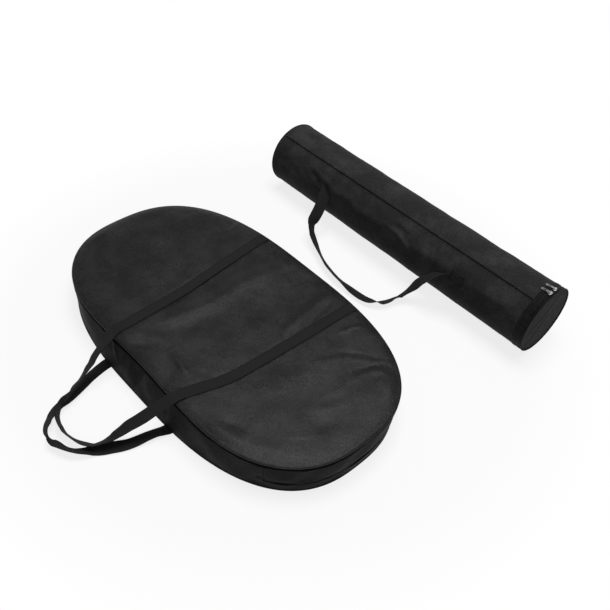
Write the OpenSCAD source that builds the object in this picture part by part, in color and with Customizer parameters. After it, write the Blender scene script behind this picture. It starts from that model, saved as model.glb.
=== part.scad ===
// Two soft carry bags for a lawn game: a flat oval bag with a zipped lid, and a round tube bag.
// The origin is the middle of the flat bag's underside. +X runs along both bags, +Y from the
// front handles towards the tube bag, and +Z up. Lengths are millimetres, angles are degrees.

/* [Flat bag] */
// Length of the flat bag
bag_l = 880; // [800:10:1000]
// Width of the flat bag
bag_w = 500; // [460:10:560]
// Height of the top seam above the floor
seam_h = 84; // [70:1:110]
// Straight stretch in the middle of each long side
straight_l = 70; // [30:5:150]
// Squareness of the outline, where 2 is an ellipse
round_p = 2.58; // [2.3:0.02:2.9]
// How far the front top edge is drawn in at its middle
front_pull = 23; // [12:1:28]
// How far the top sits towards the back
top_shift = 4; // [0:0.5:8]
// How far the underside is drawn in all round
base_inset = 5; // [2:0.5:8]

/* [Cloth and padding] */
// Thickness of the side cloth with its lining
cloth_t = 2; // [1.6:0.1:3]
// Thickness of the bottom panel
base_t = 3; // [2.6:0.1:5]
// Thickness of the foam in the bottom and in the lid
foam_t = 3; // [2:0.5:6]
// Thickness of the top panel
panel_t = 3; // [2:0.1:4]
// Rise of the padded top over its seam
crown = 9; // [7:0.5:12]
// Distance from the seam in which the top rises
crown_run = 30; // [24:1:36]
// How far the padded lip stands out over its seam
lip = 1.5; // [0.6:0.1:3]
// Height of the sewn binding at the top and bottom seams
binding_h = 2; // [1.5:0.1:4]

/* [Lid] */
// Distance of the lid's fold from the front edge
fold_in = 67; // [62:1:90]
// Gap between the lid and the fixed cloth
run_gap = 0.4; // [0.3:0.1:0.8]

/* [Zips] */
// Height of the flat bag's zip above the floor
zip_h = 30; // [20:1:45]
// Width of the tape on each side of a zip
tape_w = 4; // [3:0.5:6]
// Width of one row of coil
coil_w = 1.4; // [1:0.1:2]
// Distance of each flat-bag slider from the middle of the back
slider_x = 8; // [8:1:60]
// Length of a slider along its zip
slider_l = 12; // [9:0.5:14]
// Width of a slider across its zip
slider_w = 8; // [6:0.5:10]
// Length of a pull from its pin to its tip
pull_l = 25; // [18:1:34]
// Width of a pull
pull_w = 6.5; // [5:0.5:9]
// Diameter of a pull's pin
pin_d = 1.4; // [1.2:0.1:2]

/* [Handles] */
// Width of the webbing
strap_w = 28; // [24:1:30]
// Thickness of the webbing
strap_t = 2; // [1.6:0.1:2.4]
// Thickness of the webbing where it is sewn flat
band_t = 1.6; // [1.2:0.1:2]
// Distance between the two legs of a handle
handle_span = 230; // [210:5:260]
// Reach of the upper handle from the front top seam
upper_reach = 190; // [180:5:215]
// Reach of the lower handle from the bottom edge
lower_reach = 200; // [195:5:230]

/* [Tube bag] */
// Length of the tube bag
tube_l = 874; // [800:10:1000]
// Diameter of the tube bag over its thickest rings
tube_d = 175; // [160:1:200]
// Floor between the two bags
spacing = 227; // [215:1:320]
// How far the tube's middle lies along +X from the flat bag's
tube_mid = 37; // [-60:1:100]
// Thickness of the tube's foam liner
liner_t = 3; // [2:0.5:5]
// Thickness of the stiff discs at the tube's ends
board_t = 4; // [3:0.5:6]
// Diameter of the piping round the tube's ends
welt_d = 3.5; // [2.5:0.1:4]
// Half of the angle that the cap's cloth hinge covers
hinge_half = 38; // [30:1:50]
// Angle from the +Y side at which the strap is sewn on
strap_angle = 160; // [155:1:165]
// Distance of the strap's left end from the tube's middle
strap_left = 209; // [190:1:240]
// Distance of the strap's right end from the tube's middle
strap_right = 193; // [170:1:220]
// Reach of the tube's strap over the floor
strap_reach = 135; // [115:1:145]
// Side of the stitched box at each end of the strap
box_l = 38; // [30:1:50]

/* [Hidden] */

$fn = 96;

cloth_black = [0.10, 0.10, 0.11];
web_grey = [0.17, 0.17, 0.18];
trim_black = [0.06, 0.06, 0.07];
foam_grey = [0.45, 0.45, 0.47];
board_brown = [0.36, 0.30, 0.24];
silver = [0.75, 0.75, 0.77];

// ---- Clearances ----
// Gap round a sewn strap end or a pin that turns
turn_gap = 0.3;
// Gap between layers that are sewn together on a curved or sloping face
layer_gap = 0.15;
// Thickness of the folded bindings, of the zip's end tabs and of the patches behind the strap ends
bind_t = 0.6;
tab_t = 1.05;
patch_t = 0.5;
// Depth of the top seam inside the side cloth's face
recess = 0.8;
// How far the foam in the bottom stays below the side cloth's lower edge
foam_cut = 0.5;

// ---- Outline of the flat bag ----
end_l = (bag_l - straight_l)/2;
fold_y = fold_in - bag_w/2;
fold_x = straight_l/2 + end_l*pow(1 - pow(-fold_y/(bag_w/2), round_p), 1/round_p);
base_h = base_t + foam_t;
bind_z = base_h - foam_cut;
wall_top = seam_h - binding_h;
// Corners of the outline, all the way round and along the front and back stretches
ring_n = 96;
back_n = 68;
front_n = 40;

function power(v, p) = sign(v)*pow(abs(v), p);
// Share of the way from the underside to the top seam
function lean(z) = min(1, max(0, (z - base_h)/(seam_h - base_h)));
function inset(d, z) = d + base_inset*(1 - lean(z));
function half_w(d, z) = bag_w/2 - inset(d, z);
function end_r(d, z) = end_l - inset(d, z);
function pull_in(x, y, z) =
  front_pull*lean(z)*pow(max(0, 1 - pow(x/fold_x, 2)), 2)*max(0, -y/(bag_w/2));

// Point of the outline at angle t, a distance d inside the cloth's outer face, at height z
function edge(t, d, z) =
  let (x = sign(cos(t))*straight_l/2 + end_r(d, z)*power(cos(t), 2/round_p))
  let (y = half_w(d, z)*power(sin(t), 2/round_p))
  [x, y + pull_in(x, y, z) + top_shift*lean(z), z];

// Y of the outline at a given x, on the front (-1) or the back (1)
function side_y(x, side, d, z) =
  let (u = max(0, abs(x) - straight_l/2)/end_r(d, z))
  let (y = side*half_w(d, z)*pow(1 - pow(u, round_p), 1/round_p))
  y + pull_in(x, y, z) + top_shift*lean(z);

// Angle below the X axis at which the outline crosses the line y = cut
function cut_angle(d, z, cut) =
  asin(pow((top_shift*lean(z) - cut)/half_w(d, z), round_p/2));

// Point a share k of the way along the back (zipped) or the front stretch of the outline
function back_spot(k, d, z, cut) =
  let (a = cut_angle(d, z, cut)) edge(-a + (180 + 2*a)*k, d, z);
function front_spot(k, d, z, cut) =
  let (a = cut_angle(d, z, cut)) edge(180 + a + (180 - 2*a)*k, d, z);

// Skins rows of points into one solid. Each row runs anticlockwise seen from the last row.
module loft(rows, looped = false) {
  m = len(rows[0]);
  n = len(rows);
  sides = [for (r = [0:(looped ? n : n - 1) - 1], i = [0:m - 1], half = [0, 1])
    let (j = (i + 1)%m, s = (r + 1)%n)
    half == 0 ? [r*m + i, s*m + i, s*m + j] : [r*m + i, s*m + j, r*m + j]];
  ends = looped ? [] : [[for (i = [0:m - 1]) i], [for (i = [m - 1:-1:0]) (n - 1)*m + i]];
  polyhedron([for (row = rows) each row], concat(sides, ends));
}

// Upright wall of the flat bag; its section is [distance inside the cloth's face, height]
module hoop(section) {
  loft([for (i = [0:ring_n - 1]) [for (s = section) edge(360*i/ring_n, s[0], s[1])]], true);
}

module back_wall(section, cut) {
  loft([for (i = [0:back_n]) [for (s = section) back_spot(i/back_n, s[0], s[1], cut)]]);
}

module front_wall(section, from = 0, to = 1) {
  n = max(2, round(front_n*(to - from)));
  loft([for (i = [0:n])
    [for (s = section) front_spot(from + (to - from)*i/n, s[0], s[1], fold_y)]]);
}

function slab(d0, d1, z0, z1) = [[d0, z0], [d1, z0], [d1, z1], [d0, z1]];

// Flat sheet inside the outline at height z
module sheet_of(d, z, t) {
  translate([0, 0, z]) linear_extrude(t)
    polygon([for (i = [0:ring_n - 1]) let (q = edge(360*i/ring_n, d, z)) [q[0], q[1]]]);
}

// ---- Padded top ----
// Rise of the top over its seam, against the distance in from the seam
rise = [[-lip, 0.22*crown], [-lip/3, 0.5*crown], [4, 0.72*crown], [14, 0.89*crown], [crown_run, crown]];
// Width of the rim that is sewn to the side, and the height of its inner face
rim_w = 6;
rim_h = crown - panel_t - foam_t;
// Rings of the pad's outside and of the hollow under it: distance in from the seam, rise over it
pad_outside = concat([[cloth_t, 0]], rise);
pad_hollow = [[rim_w, -1], [rim_w, rim_h], [crown_run, crown - panel_t]];

// Raises a stretch of the outline and ends it exactly on the line y = cut
function raised(spots, rise_by, cut) = let (n = len(spots) - 1)
  [for (i = [0:n]) [spots[i][0], i == 0 || i == n ? cut : spots[i][1], seam_h + rise_by]];

module back_rings(rings, cut) {
  loft([for (p = rings)
    raised([for (i = [0:back_n]) back_spot(i/back_n, p[0], seam_h, cut)], p[1], cut)]);
}

module front_rings(rings, cut) {
  loft([for (p = rings)
    raised([for (i = [0:front_n]) front_spot(i/front_n, p[0], seam_h, cut)], p[1], cut)]);
}

// ---- Webbing sewn on the top ----
// Sideways drift of each band in percent of its width, against the share of the half width from
// front to back in percent
left_drift = [[-90, 0], [-73, 14], [-10, -21], [100, -146]];
right_drift = [[-90, 0], [-73, 46], [-55, 100], [-37, 132], [28, 154], [100, 164]];
band_stops = [-55, -37, -10, 28, 60];
band_end = 1.2*lip;

function band_x(side, y) =
  side*handle_span/2 + strap_w/100*lookup(100*y/(bag_w/2), side < 0 ? left_drift : right_drift);
function depth(x, y) =
  min(y - side_y(x, -1, 0, seam_h), side_y(x, 1, 0, seam_h) - y);
function top_z(x, y) = seam_h + lookup(depth(x, y), rise) + 2*layer_gap;

// Strip of webbing along the top, through the given y places
module band(side, places) {
  loft([for (y = places)
    let (right = band_x(side, y) + strap_w/2, left = right - strap_w)
    [[right, y, top_z(right, y)], [left, y, top_z(left, y)],
     [left, y, top_z(left, y) + band_t], [right, y, top_z(right, y) + band_t]]]);
}

// ---- Free webbing ----
// Height at which webbing lies on the floor when it is rolled by this angle
function lie(roll) = strap_w/2*abs(sin(roll)) + strap_t/2*abs(cos(roll)) + turn_gap;
function unit(v) = v/norm(v);
function round_off(a, b, c, d, k) =
  0.5*(2*b + (c - a)*k + (2*a - 5*b + 4*c - d)*k*k + (3*b - a - 3*c + d)*k*k*k);
// Smooth curve through the points, with this many steps between two of them
function smooth(p, steps) = let (n = len(p) - 1) [
  for (i = [0:n - 1], k = [0:steps - 1])
    round_off(p[max(i - 1, 0)], p[i], p[i + 1], p[min(i + 2, n)], k/steps),
  p[n]];

// Flat webbing swept through [x, y, z, roll] points
module webbing(route) {
  n = len(route) - 1;
  loft([for (i = [0:n])
    let (here = route[i], ahead = route[min(i + 1, n)], behind = route[max(i - 1, 0)])
    let (run = i == 0 || i == n ? [0, ahead[1] - behind[1], ahead[2] - behind[2]]
      : [for (k = [0:2]) ahead[k] - behind[k]])
    let (t = unit(run), s = unit(cross(t, [0, 0, 1])), up = cross(s, t))
    let (w = strap_w/2*(cos(here[3])*s + sin(here[3])*up), u = strap_t/2*unit(cross(t, w)))
    let (c = [here[0], here[1], here[2]])
    [c + w + u, c - w + u, c - w - u, c + w - u]]);
}

// Rounded sewn end of webbing, on the line that it turns about
bead_r = 0.6*strap_t;
module bead(x, y, z) {
  translate([x - strap_w/2, y, z]) rotate([0, 90, 0]) cylinder(h = strap_w, r = bead_r, $fn = 24);
}

// Handle routes: share of the half span, share of the reach, share of the height, all in percent,
// and the roll of the webbing
upper_route = [[-100, 0, 100, 0], [-99, 7, 97, -8], [-92, 15, 90, -20], [-85, 28, 72, -30],
  [-80, 46, 35, -48], [-73, 60, 21, -52], [-69, 74, 17, -62], [-57, 86, 17, -79], [-41, 94, 13, -96],
  [-20, 98, 3, -108], [0, 99, 1, -114], [17, 96, 1, -116], [32, 93, 2, -124], [44, 88, 4, -128],
  [52, 80, 6, -132], [59, 72, 10, -141], [64, 66, 17, -149], [71, 52, 36, -168], [83, 33, 61, -184],
  [94, 16, 82, -189], [99, 7, 95, -184], [100, 0, 100, -180]];
lower_route = [[-102, 0, 0, 0], [-97, 12, 0, -8], [-90, 27, 0, -11], [-80, 43, 0, -14],
  [-70, 60, 0, -15], [-64, 72, 0, -15], [-57, 80, 0, -16], [-50, 86, 0, -24],
  [-41, 91, 0, -44], [-31, 96, 0, -60],
  [-18, 99, 0, -90], [-3, 99, 0, -127], [6, 98, 0, -143], [18, 95, 0, -136], [30, 92, 0, -130],
  [40, 88, 0, -135], [47, 83, 0, -144], [53, 76, 0, -164], [60, 68, 0, -178], [70, 58, 0, -185],
  [80, 47, 0, -176], [87, 35, 0, -168], [94, 18, 0, -164], [98, 8, 0, -168], [102, 0, 0, -180]];

leg_x = handle_span/2;
upper_end_y = side_y(leg_x - strap_w/2, -1, 0, seam_h) + band_end;
upper_root = [upper_end_y - bead_r - 1.5*turn_gap,
  top_z(leg_x + strap_w/2, upper_end_y) + band_t/2 + turn_gap];
lower_x = 1.02*leg_x;
lower_root = [side_y(lower_x - strap_w/2, -1, -bind_t, 0) - bead_r - turn_gap, bead_r + turn_gap];

function handle_points(route, root, reach) = [for (p = route)
  [p[0]/100*leg_x, root[0] - p[1]/100*reach,
   lie(p[3]) + p[2]/100*(root[1] - lie(p[3])), p[3]]];

module handle(route, root, reach) {
  points = handle_points(route, root, reach);
  webbing(smooth(points, 3));
  bead(points[0][0], root[0], root[1]);
  bead(points[len(points) - 1][0], root[0], root[1]);
}

// ---- Zip sliders and pulls ----
// They are drawn with X along the zip, Y out of the cloth and Z across the zip.
plate_t = 2;
eye_d = 3.4;
pin_y = plate_t + eye_d/2 + 3*turn_gap;
post_w = 1.6;
// Distance from a post's outer face to the end of its slider
post_in = 1;
eye_l = slider_l - 2*post_in - 2*post_w - 2*turn_gap;
// Edge and length of the slot in a pull
slot_edge = 1.75;
slot_l = 8;

module slider() {
  narrow = 0.32*slider_w;
  color(silver) {
    translate([0, turn_gap + plate_t, 0]) rotate([90, 0, 0]) linear_extrude(plate_t)
      polygon([[-slider_l/2, -narrow], [0, -slider_w/2], [slider_l/2, -slider_w/2],
        [slider_l/2, slider_w/2], [0, slider_w/2], [-slider_l/2, narrow]]);
    for (side = [-1, 1])
      translate([side*(slider_l/2 - post_in - post_w/2) - post_w/2, turn_gap + plate_t, -pin_d/2])
        cube([post_w, pin_y - turn_gap - plate_t, pin_d]);
    translate([post_in - slider_l/2, pin_y, 0]) rotate([0, 90, 0])
      cylinder(h = slider_l - 2*post_in, d = pin_d, $fn = 24);
  }
}

module pull(tilt = 0) {
  slot_w = pull_w - 2*slot_edge;
  slot_at = pull_l - pull_w/2 - 3;
  neck_l = pull_l - pull_w - eye_d/2 + 1;
  color(silver) translate([0, pin_y, 0]) rotate([-tilt, 0, 0]) {
    difference() {
      union() {
        translate([-eye_l/2, 0, 0]) rotate([0, 90, 0]) cylinder(h = eye_l, d = eye_d, $fn = 24);
        translate([0, plate_t/4, 0]) rotate([90, 0, 0]) linear_extrude(plate_t/2) union() {
          translate([-pull_w/2, pull_w/2 - pull_l]) square([pull_w, neck_l]);
          translate([0, pull_w/2 - pull_l]) circle(d = pull_w, $fn = 48);
          translate([-eye_l/2, -pull_w]) square([eye_l, pull_w]);
        }
      }
      translate([-slider_l/2, 0, 0]) rotate([0, 90, 0])
        cylinder(h = slider_l, d = pin_d + 2*turn_gap, $fn = 24);
      translate([-slot_w/2, -plate_t, -slot_at]) cube([slot_w, 2*plate_t, slot_l]);
    }
  }
}

// Places a slider or pull on the back of the flat bag, or at an angle on the tube's mouth
module on_panel(side) {
  translate([side*slider_x, side_y(slider_x, 1, -coil_out, zip_h), zip_h])
    mirror([side < 0 ? 1 : 0, 0, 0]) children();
}

module on_mouth(angle, side) {
  translate([zip_x, tube_y, axis_h]) rotate([angle - 90, 0, 0])
    translate([0, 0, tube_r + coil_out - welt_out]) mirror([0, side, 0])
      rotate([90, 0, 90]) children();
}

// ---- Tube bag ----
tube_r = tube_d/2;
axis_h = tube_r;
tube_y = bag_w/2 + spacing + tube_r;
// The cloth lies this far inside the thickest rings
welt_out = 1;
coil_out = 0.4;
tape_in = 0.4;
skin_r = tube_r - welt_out;
liner_r = skin_r - cloth_t - layer_gap;
mouth_x = tube_mid + tube_l/2;
closed_x = tube_mid - tube_l/2;
cap_back = mouth_x - welt_d;
zip_x = cap_back - tape_w - 1;
sleeve_end = zip_x - 10;
sleeve_start = closed_x + welt_d;
board_r = liner_r - liner_t - 1;
slider_a_angle = 97;
slider_b_angle = 85;
// The tube's pulls lean down to the cloth
pull_tilt = 8;
// Angle left free between the zip tapes and the cloth hinge
tape_slit = 0.3;
seam_angle = 121;
lap_w = 12;
lap_t = 0.45;
hem_l = 3;

// Draws along the tube's axis: X becomes +Y, Y becomes +Z and Z becomes +X
module along_tube() {
  translate([0, tube_y, axis_h]) rotate([90, 0, 90]) children();
}

module pipe(r0, r1, x0, x1) {
  along_tube() translate([0, 0, x0]) difference() {
    cylinder(h = x1 - x0, r = r1);
    translate([0, 0, -1]) cylinder(h = x1 - x0 + 2, r = r0);
  }
}

module disc(r, x0, x1) {
  along_tube() translate([0, 0, x0]) cylinder(h = x1 - x0, r = r);
}

// Curved plate between two angles
module shell(r0, r1, from, to, x0, x1) {
  along_tube() rotate([0, 0, from]) rotate_extrude(angle = to - from)
    translate([r0, x0]) square([r1 - r0, x1 - x0]);
}

module welt(x) {
  along_tube() translate([0, 0, x]) rotate_extrude()
    translate([tube_r - welt_d/2, 0]) circle(d = welt_d, $fn = 24);
}

// Zip tape round the mouth, with its coil on the side that faces the other tape
module round_tape(x0, x1, coil_first) {
  c0 = coil_first ? x0 : x1 - coil_w;
  turn = 360 - 2*hinge_half - 2*tape_slit;
  r0 = skin_r - cloth_t + layer_gap;
  along_tube() rotate([0, 0, 180 + hinge_half + tape_slit]) rotate_extrude(angle = turn) union() {
    translate([r0, x0]) square([cloth_t - 2*layer_gap - coil_out, x1 - x0]);
    translate([r0, c0]) square([cloth_t - layer_gap + coil_out, coil_w]);
  }
}

// ---- Tube strap ----
strap_root = [tube_y + (skin_r + turn_gap + bead_r)*cos(strap_angle),
  axis_h + (skin_r + turn_gap + bead_r)*sin(strap_angle)];
// Share of the way from the left end to the right, share of the reach, share of the height, roll
carry_route = [[0, 0, 100, 0], [0, 6, 94, 14], [1, 19, 84, 24], [2, 34, 68, 32], [4, 50, 45, 52],
  [8, 61, 22, 54], [14, 69, 9, 50], [20, 76, 1, 57], [27, 84, 0, 60], [35, 93, 0, 66],
  [42, 98, 0, 61], [49, 100, 0, 52], [57, 99, 0, 30], [65, 98, 0, 24], [71, 96, 0, 34],
  [76, 90, 0, 46], [80, 78, 0, 53], [82, 62, 0, 55], [83, 44, 2, 50], [84, 37, 15, 28],
  [86, 28, 34, 8], [89, 22, 50, -10], [93, 17, 68, -12], [97, 14, 82, -4], [100, 8, 92, 0],
  [100, 0, 100, 0]];

left_x = tube_mid - strap_left;
right_x = tube_mid + strap_right;
box_half = asin(strap_w/2/skin_r);

module strap_box(x) {
  shell(skin_r + 2*layer_gap + patch_t, skin_r + 2*layer_gap + patch_t + band_t,
    strap_angle - box_half, strap_angle + box_half, x, x + box_l);
}

module backing(x) {
  patch_half = box_half + 3;
  shell(skin_r + layer_gap, skin_r + layer_gap + patch_t, strap_angle - patch_half,
    strap_angle + patch_half, x - 2, x + box_l + 2);
}

// Webbing between a strap's turning end and its stitched box
lead = 3;
left_box_x = left_x - strap_w/2 - box_l - lead;
right_box_x = right_x + strap_w/2 + lead;

// ======== Flat bag, fixed ========

module bottom_panel() {
  color(cloth_black) difference() {
    sheet_of(cloth_t, 0, base_t);
    for (side = [-1, 1]) translate([side*lower_x - strap_w/2 - turn_gap, -bag_w/2, -1])
      cube([strap_w + 2*turn_gap, lower_band_l + bag_w/2 + lower_band_y + turn_gap,
        1 + band_t + layer_gap]);
  }
}

// The bottom webbing starts at the front edge and ends short of the back edge
lower_band_y = lower_root[0] + bead_r + turn_gap;
lower_band_l = bag_w - 40;

module lower_strap_bands() {
  color(web_grey) for (side = [-1, 1])
    translate([side*lower_x - strap_w/2, lower_band_y, 0])
      cube([strap_w, lower_band_l, band_t]);
}

module base_foam() {
  color(foam_grey) sheet_of(cloth_t + 1, base_t, foam_t - foam_cut);
}

module bottom_binding() {
  color(trim_black) hoop(slab(-bind_t, cloth_t, band_t + 2*layer_gap, bind_z));
}

module side_gusset_front() {
  color(cloth_black) front_wall(slab(0, cloth_t, bind_z, wall_top));
}

module side_gusset_lower() {
  color(cloth_black) back_wall(slab(0, cloth_t, bind_z, zip_h - tape_w), fold_y);
}

module side_gusset_upper() {
  color(cloth_black) back_wall(slab(0, cloth_t, zip_h + tape_w, wall_top), fold_y + run_gap);
}

// Tape section with its coil; flip is 1 for the lower tape and -1 for the upper one
function tape_section(flip) =
  let (z0 = zip_h - flip*tape_w, z1 = zip_h - flip*(run_gap/2 + coil_w), z2 = zip_h - flip*run_gap/2)
  let (p = [[tape_in, z0], [cloth_t - tape_in, z0], [cloth_t - tape_in, z1], [cloth_t, z1],
    [cloth_t, z2], [-coil_out, z2], [-coil_out, z1], [tape_in, z1]])
  flip > 0 ? p : [for (i = [len(p) - 1:-1:0]) p[i]];

module zip_tape_lower() {
  color(trim_black) back_wall(tape_section(1), fold_y);
}

module zip_tape_upper() {
  color(trim_black) back_wall(tape_section(-1), fold_y + run_gap);
}

module zip_end_tabs() {
  tab = slab(-layer_gap - tab_t, -layer_gap, zip_h - 2*tape_w, zip_h + 2*tape_w);
  share = 0.05;
  color(trim_black) {
    front_wall(tab, 0, share);
    front_wall(tab, 1 - share, 1);
  }
}

module top_binding_front() {
  color(trim_black) front_wall(slab(recess, cloth_t + bind_t, wall_top, seam_h));
}

module top_binding_lid() {
  color(trim_black) back_wall(slab(recess, cloth_t + bind_t, wall_top, seam_h), fold_y + run_gap);
}

module top_panel_front() {
  color(cloth_black) difference() {
    front_rings(pad_outside, fold_y);
    front_rings(pad_hollow, fold_y + 1);
  }
}

module upper_strap_front_bands() {
  color(web_grey) for (side = [-1, 1])
    band(side, concat([upper_end_y],
      [for (d = [4, 14, crown_run]) side_y(side*leg_x, -1, d, seam_h)], [fold_y]));
}

// ======== Flat bag, lid ========

module top_panel_lid() {
  color(cloth_black) difference() {
    back_rings(pad_outside, fold_y + run_gap);
    back_rings(pad_hollow, fold_y + run_gap - 1);
  }
}

module lid_foam() {
  d = crown_run + 1;
  z = seam_h + rim_h;
  color(foam_grey) translate([0, 0, z]) linear_extrude(foam_t)
    polygon([for (i = [0:back_n])
      let (q = back_spot(i/back_n, d, seam_h, fold_y + run_gap)) [q[0], q[1]]]);
}

module upper_strap_lid_bands() {
  color(web_grey) for (side = [-1, 1])
    band(side, concat([fold_y + run_gap], [for (p = band_stops) p/100*bag_w/2],
      [for (d = [crown_run, 14, 4, band_end])
        side_y(band_x(side, 0.98*bag_w/2), 1, d, seam_h)]));
}

// ======== Handles ========

module upper_handle() {
  color(web_grey) handle(upper_route, upper_root, upper_reach);
}

module lower_handle() {
  color(web_grey) handle(lower_route, lower_root, lower_reach);
}

// ======== Zip pulls ========

module panel_slider_left() {
  on_panel(-1) slider();
}

module panel_slider_right() {
  on_panel(1) slider();
}

module panel_pull_left() {
  on_panel(-1) pull();
}

module panel_pull_right() {
  on_panel(1) pull();
}

module tube_slider_a() {
  on_mouth(slider_a_angle, 0) slider();
}

module tube_slider_b() {
  on_mouth(slider_b_angle, 1) slider();
}

module tube_pull_a() {
  on_mouth(slider_a_angle, 0) pull(pull_tilt);
}

module tube_pull_b() {
  on_mouth(slider_b_angle, 1) pull(pull_tilt);
}

// ======== Tube bag ========

module tube_sleeve() {
  color(cloth_black) pipe(skin_r - cloth_t, skin_r, sleeve_start, sleeve_end);
}

module lap_seam_tape() {
  half = asin(lap_w/2/skin_r);
  color(cloth_black) shell(skin_r + layer_gap, skin_r + layer_gap + lap_t, seam_angle - half,
    seam_angle + half, sleeve_start + 1, sleeve_end - hem_l - 1);
}

module tube_foam_liner() {
  color(foam_grey) pipe(liner_r - liner_t, liner_r, sleeve_start + board_t + 1, sleeve_end - 1);
}

module closed_end_disc() {
  color(cloth_black) disc(tube_r - welt_d - layer_gap, sleeve_start - cloth_t, sleeve_start);
}

module closed_end_welt() {
  color(trim_black) welt(sleeve_start - layer_gap - welt_d/2);
}

module closed_end_board() {
  color(board_brown) disc(board_r, sleeve_start, sleeve_start + board_t);
}

module mouth_hem() {
  color(trim_black) pipe(skin_r + layer_gap, skin_r + layer_gap + lap_t, sleeve_end - hem_l, sleeve_end);
}

module mouth_zip_tape() {
  color(trim_black) round_tape(sleeve_end, zip_x - run_gap/2, false);
}

module cap_hinge_patch() {
  color(cloth_black) shell(skin_r - cloth_t, skin_r, 180 - hinge_half, 180 + hinge_half,
    sleeve_end, cap_back - run_gap);
}

module tube_zip_end_tabs() {
  reach = 8;
  color(trim_black) for (from = [180 - hinge_half, 180 + hinge_half - reach])
    shell(skin_r + layer_gap, skin_r + layer_gap + bind_t, from, from + reach,
      zip_x - tape_w, cap_back - run_gap);
}

module strap_end_left() {
  color(web_grey) strap_box(left_box_x);
}

module strap_end_right() {
  color(web_grey) strap_box(right_box_x);
}

module strap_backing_patches() {
  color(trim_black) {
    backing(left_box_x);
    backing(right_box_x);
  }
}

module cap_disc() {
  color(cloth_black) disc(tube_r - welt_d - layer_gap, cap_back, cap_back + welt_d - 1);
}

module cap_welt() {
  color(trim_black) welt(mouth_x - welt_d/2 + layer_gap);
}

module cap_board() {
  color(board_brown) disc(board_r, cap_back - board_t, cap_back);
}

module cap_zip_tape() {
  color(trim_black) round_tape(zip_x + run_gap/2, cap_back, true);
}

module carry_strap() {
  points = [for (p = carry_route)
    [left_x + p[0]/100*(right_x - left_x), strap_root[0] - p[1]/100*strap_reach,
     lie(p[3]) + p[2]/100*(strap_root[1] - lie(p[3])), p[3]]];
  color(web_grey) {
    webbing(smooth(points, 3));
    bead(left_x, strap_root[0], strap_root[1]);
    bead(right_x, strap_root[0], strap_root[1]);
  }
}

bottom_panel();
base_foam();
bottom_binding();
side_gusset_front();
side_gusset_lower();
zip_tape_lower();
zip_end_tabs();
top_panel_front();
top_binding_front();
upper_strap_front_bands();
lower_strap_bands();
top_panel_lid();
lid_foam();
top_binding_lid();
side_gusset_upper();
zip_tape_upper();
upper_strap_lid_bands();
upper_handle();
lower_handle();
panel_slider_left();
panel_slider_right();
panel_pull_left();
panel_pull_right();
tube_sleeve();
lap_seam_tape();
tube_foam_liner();
closed_end_disc();
closed_end_welt();
closed_end_board();
mouth_hem();
mouth_zip_tape();
cap_hinge_patch();
tube_zip_end_tabs();
strap_end_left();
strap_end_right();
strap_backing_patches();
cap_disc();
cap_welt();
cap_board();
cap_zip_tape();
tube_slider_a();
tube_slider_b();
tube_pull_a();
tube_pull_b();
carry_strap();
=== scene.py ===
"""Looks of the two soft carry bags: cloth, webbing, seams, zips, floor, light and camera."""

import math

import bmesh
import bpy
import numpy as np
from mathutils import Matrix, Vector


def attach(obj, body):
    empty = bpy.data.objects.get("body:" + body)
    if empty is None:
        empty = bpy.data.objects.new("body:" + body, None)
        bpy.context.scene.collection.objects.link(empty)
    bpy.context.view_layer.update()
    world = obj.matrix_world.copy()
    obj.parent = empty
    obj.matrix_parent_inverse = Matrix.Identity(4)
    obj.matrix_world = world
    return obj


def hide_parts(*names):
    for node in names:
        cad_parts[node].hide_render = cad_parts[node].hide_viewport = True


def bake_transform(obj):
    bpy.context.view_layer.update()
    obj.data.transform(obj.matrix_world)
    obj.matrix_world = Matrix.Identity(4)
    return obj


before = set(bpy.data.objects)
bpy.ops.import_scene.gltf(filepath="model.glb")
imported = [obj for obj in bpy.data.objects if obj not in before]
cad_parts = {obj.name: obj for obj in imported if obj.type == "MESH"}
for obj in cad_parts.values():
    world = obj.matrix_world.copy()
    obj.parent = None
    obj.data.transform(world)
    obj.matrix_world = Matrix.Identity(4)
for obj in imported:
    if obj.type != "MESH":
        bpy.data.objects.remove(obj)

bl_info = {
    "name": "Soft carry bags",
    "version": (1, 0, 0),
    "blender": (4, 5, 0),
    "location": "View3D > Sidebar > Carry bags",
    "description": "Builds the cloth, webbing, zips and stage of two carry bags",
    "category": "Object",
}

MM = 0.001


# ---------------------------------------------------------------- settings

def length(name, value, about):
    return bpy.props.FloatProperty(name=name, description=about, default=value,
                                   unit="LENGTH", subtype="DISTANCE")


def number(name, value, about):
    return bpy.props.FloatProperty(name=name, description=about, default=value)


class FlatBagSettings(bpy.types.PropertyGroup):
    bag_length: length("Length", 0.880, "Length of the flat bag")
    bag_width: length("Width", 0.500, "Width of the flat bag")
    seam_height: length("Seam height", 0.084, "Height of the top seam over the floor")
    straight: length("Straight stretch", 0.070, "Straight stretch in the middle of each long side")
    roundness: number("Roundness", 2.58, "Power of the outline's rounded ends")
    front_pull: length("Front pull", 0.023, "How far the front top edge is drawn in at its middle")
    top_shift: length("Top shift", 0.004, "How far the top sits towards the back")
    base_inset: length("Base inset", 0.005, "How far the underside is drawn in")
    crown: length("Crown", 0.009, "Rise of the padded top over its seam")
    fold_in: length("Fold distance", 0.067, "Distance of the lid's fold from the front edge")
    zip_height: length("Zip height", 0.030, "Height of the zip over the floor")
    relief: number("Relief", 1.7, "Strength of the soft dents in the cloth")


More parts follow.
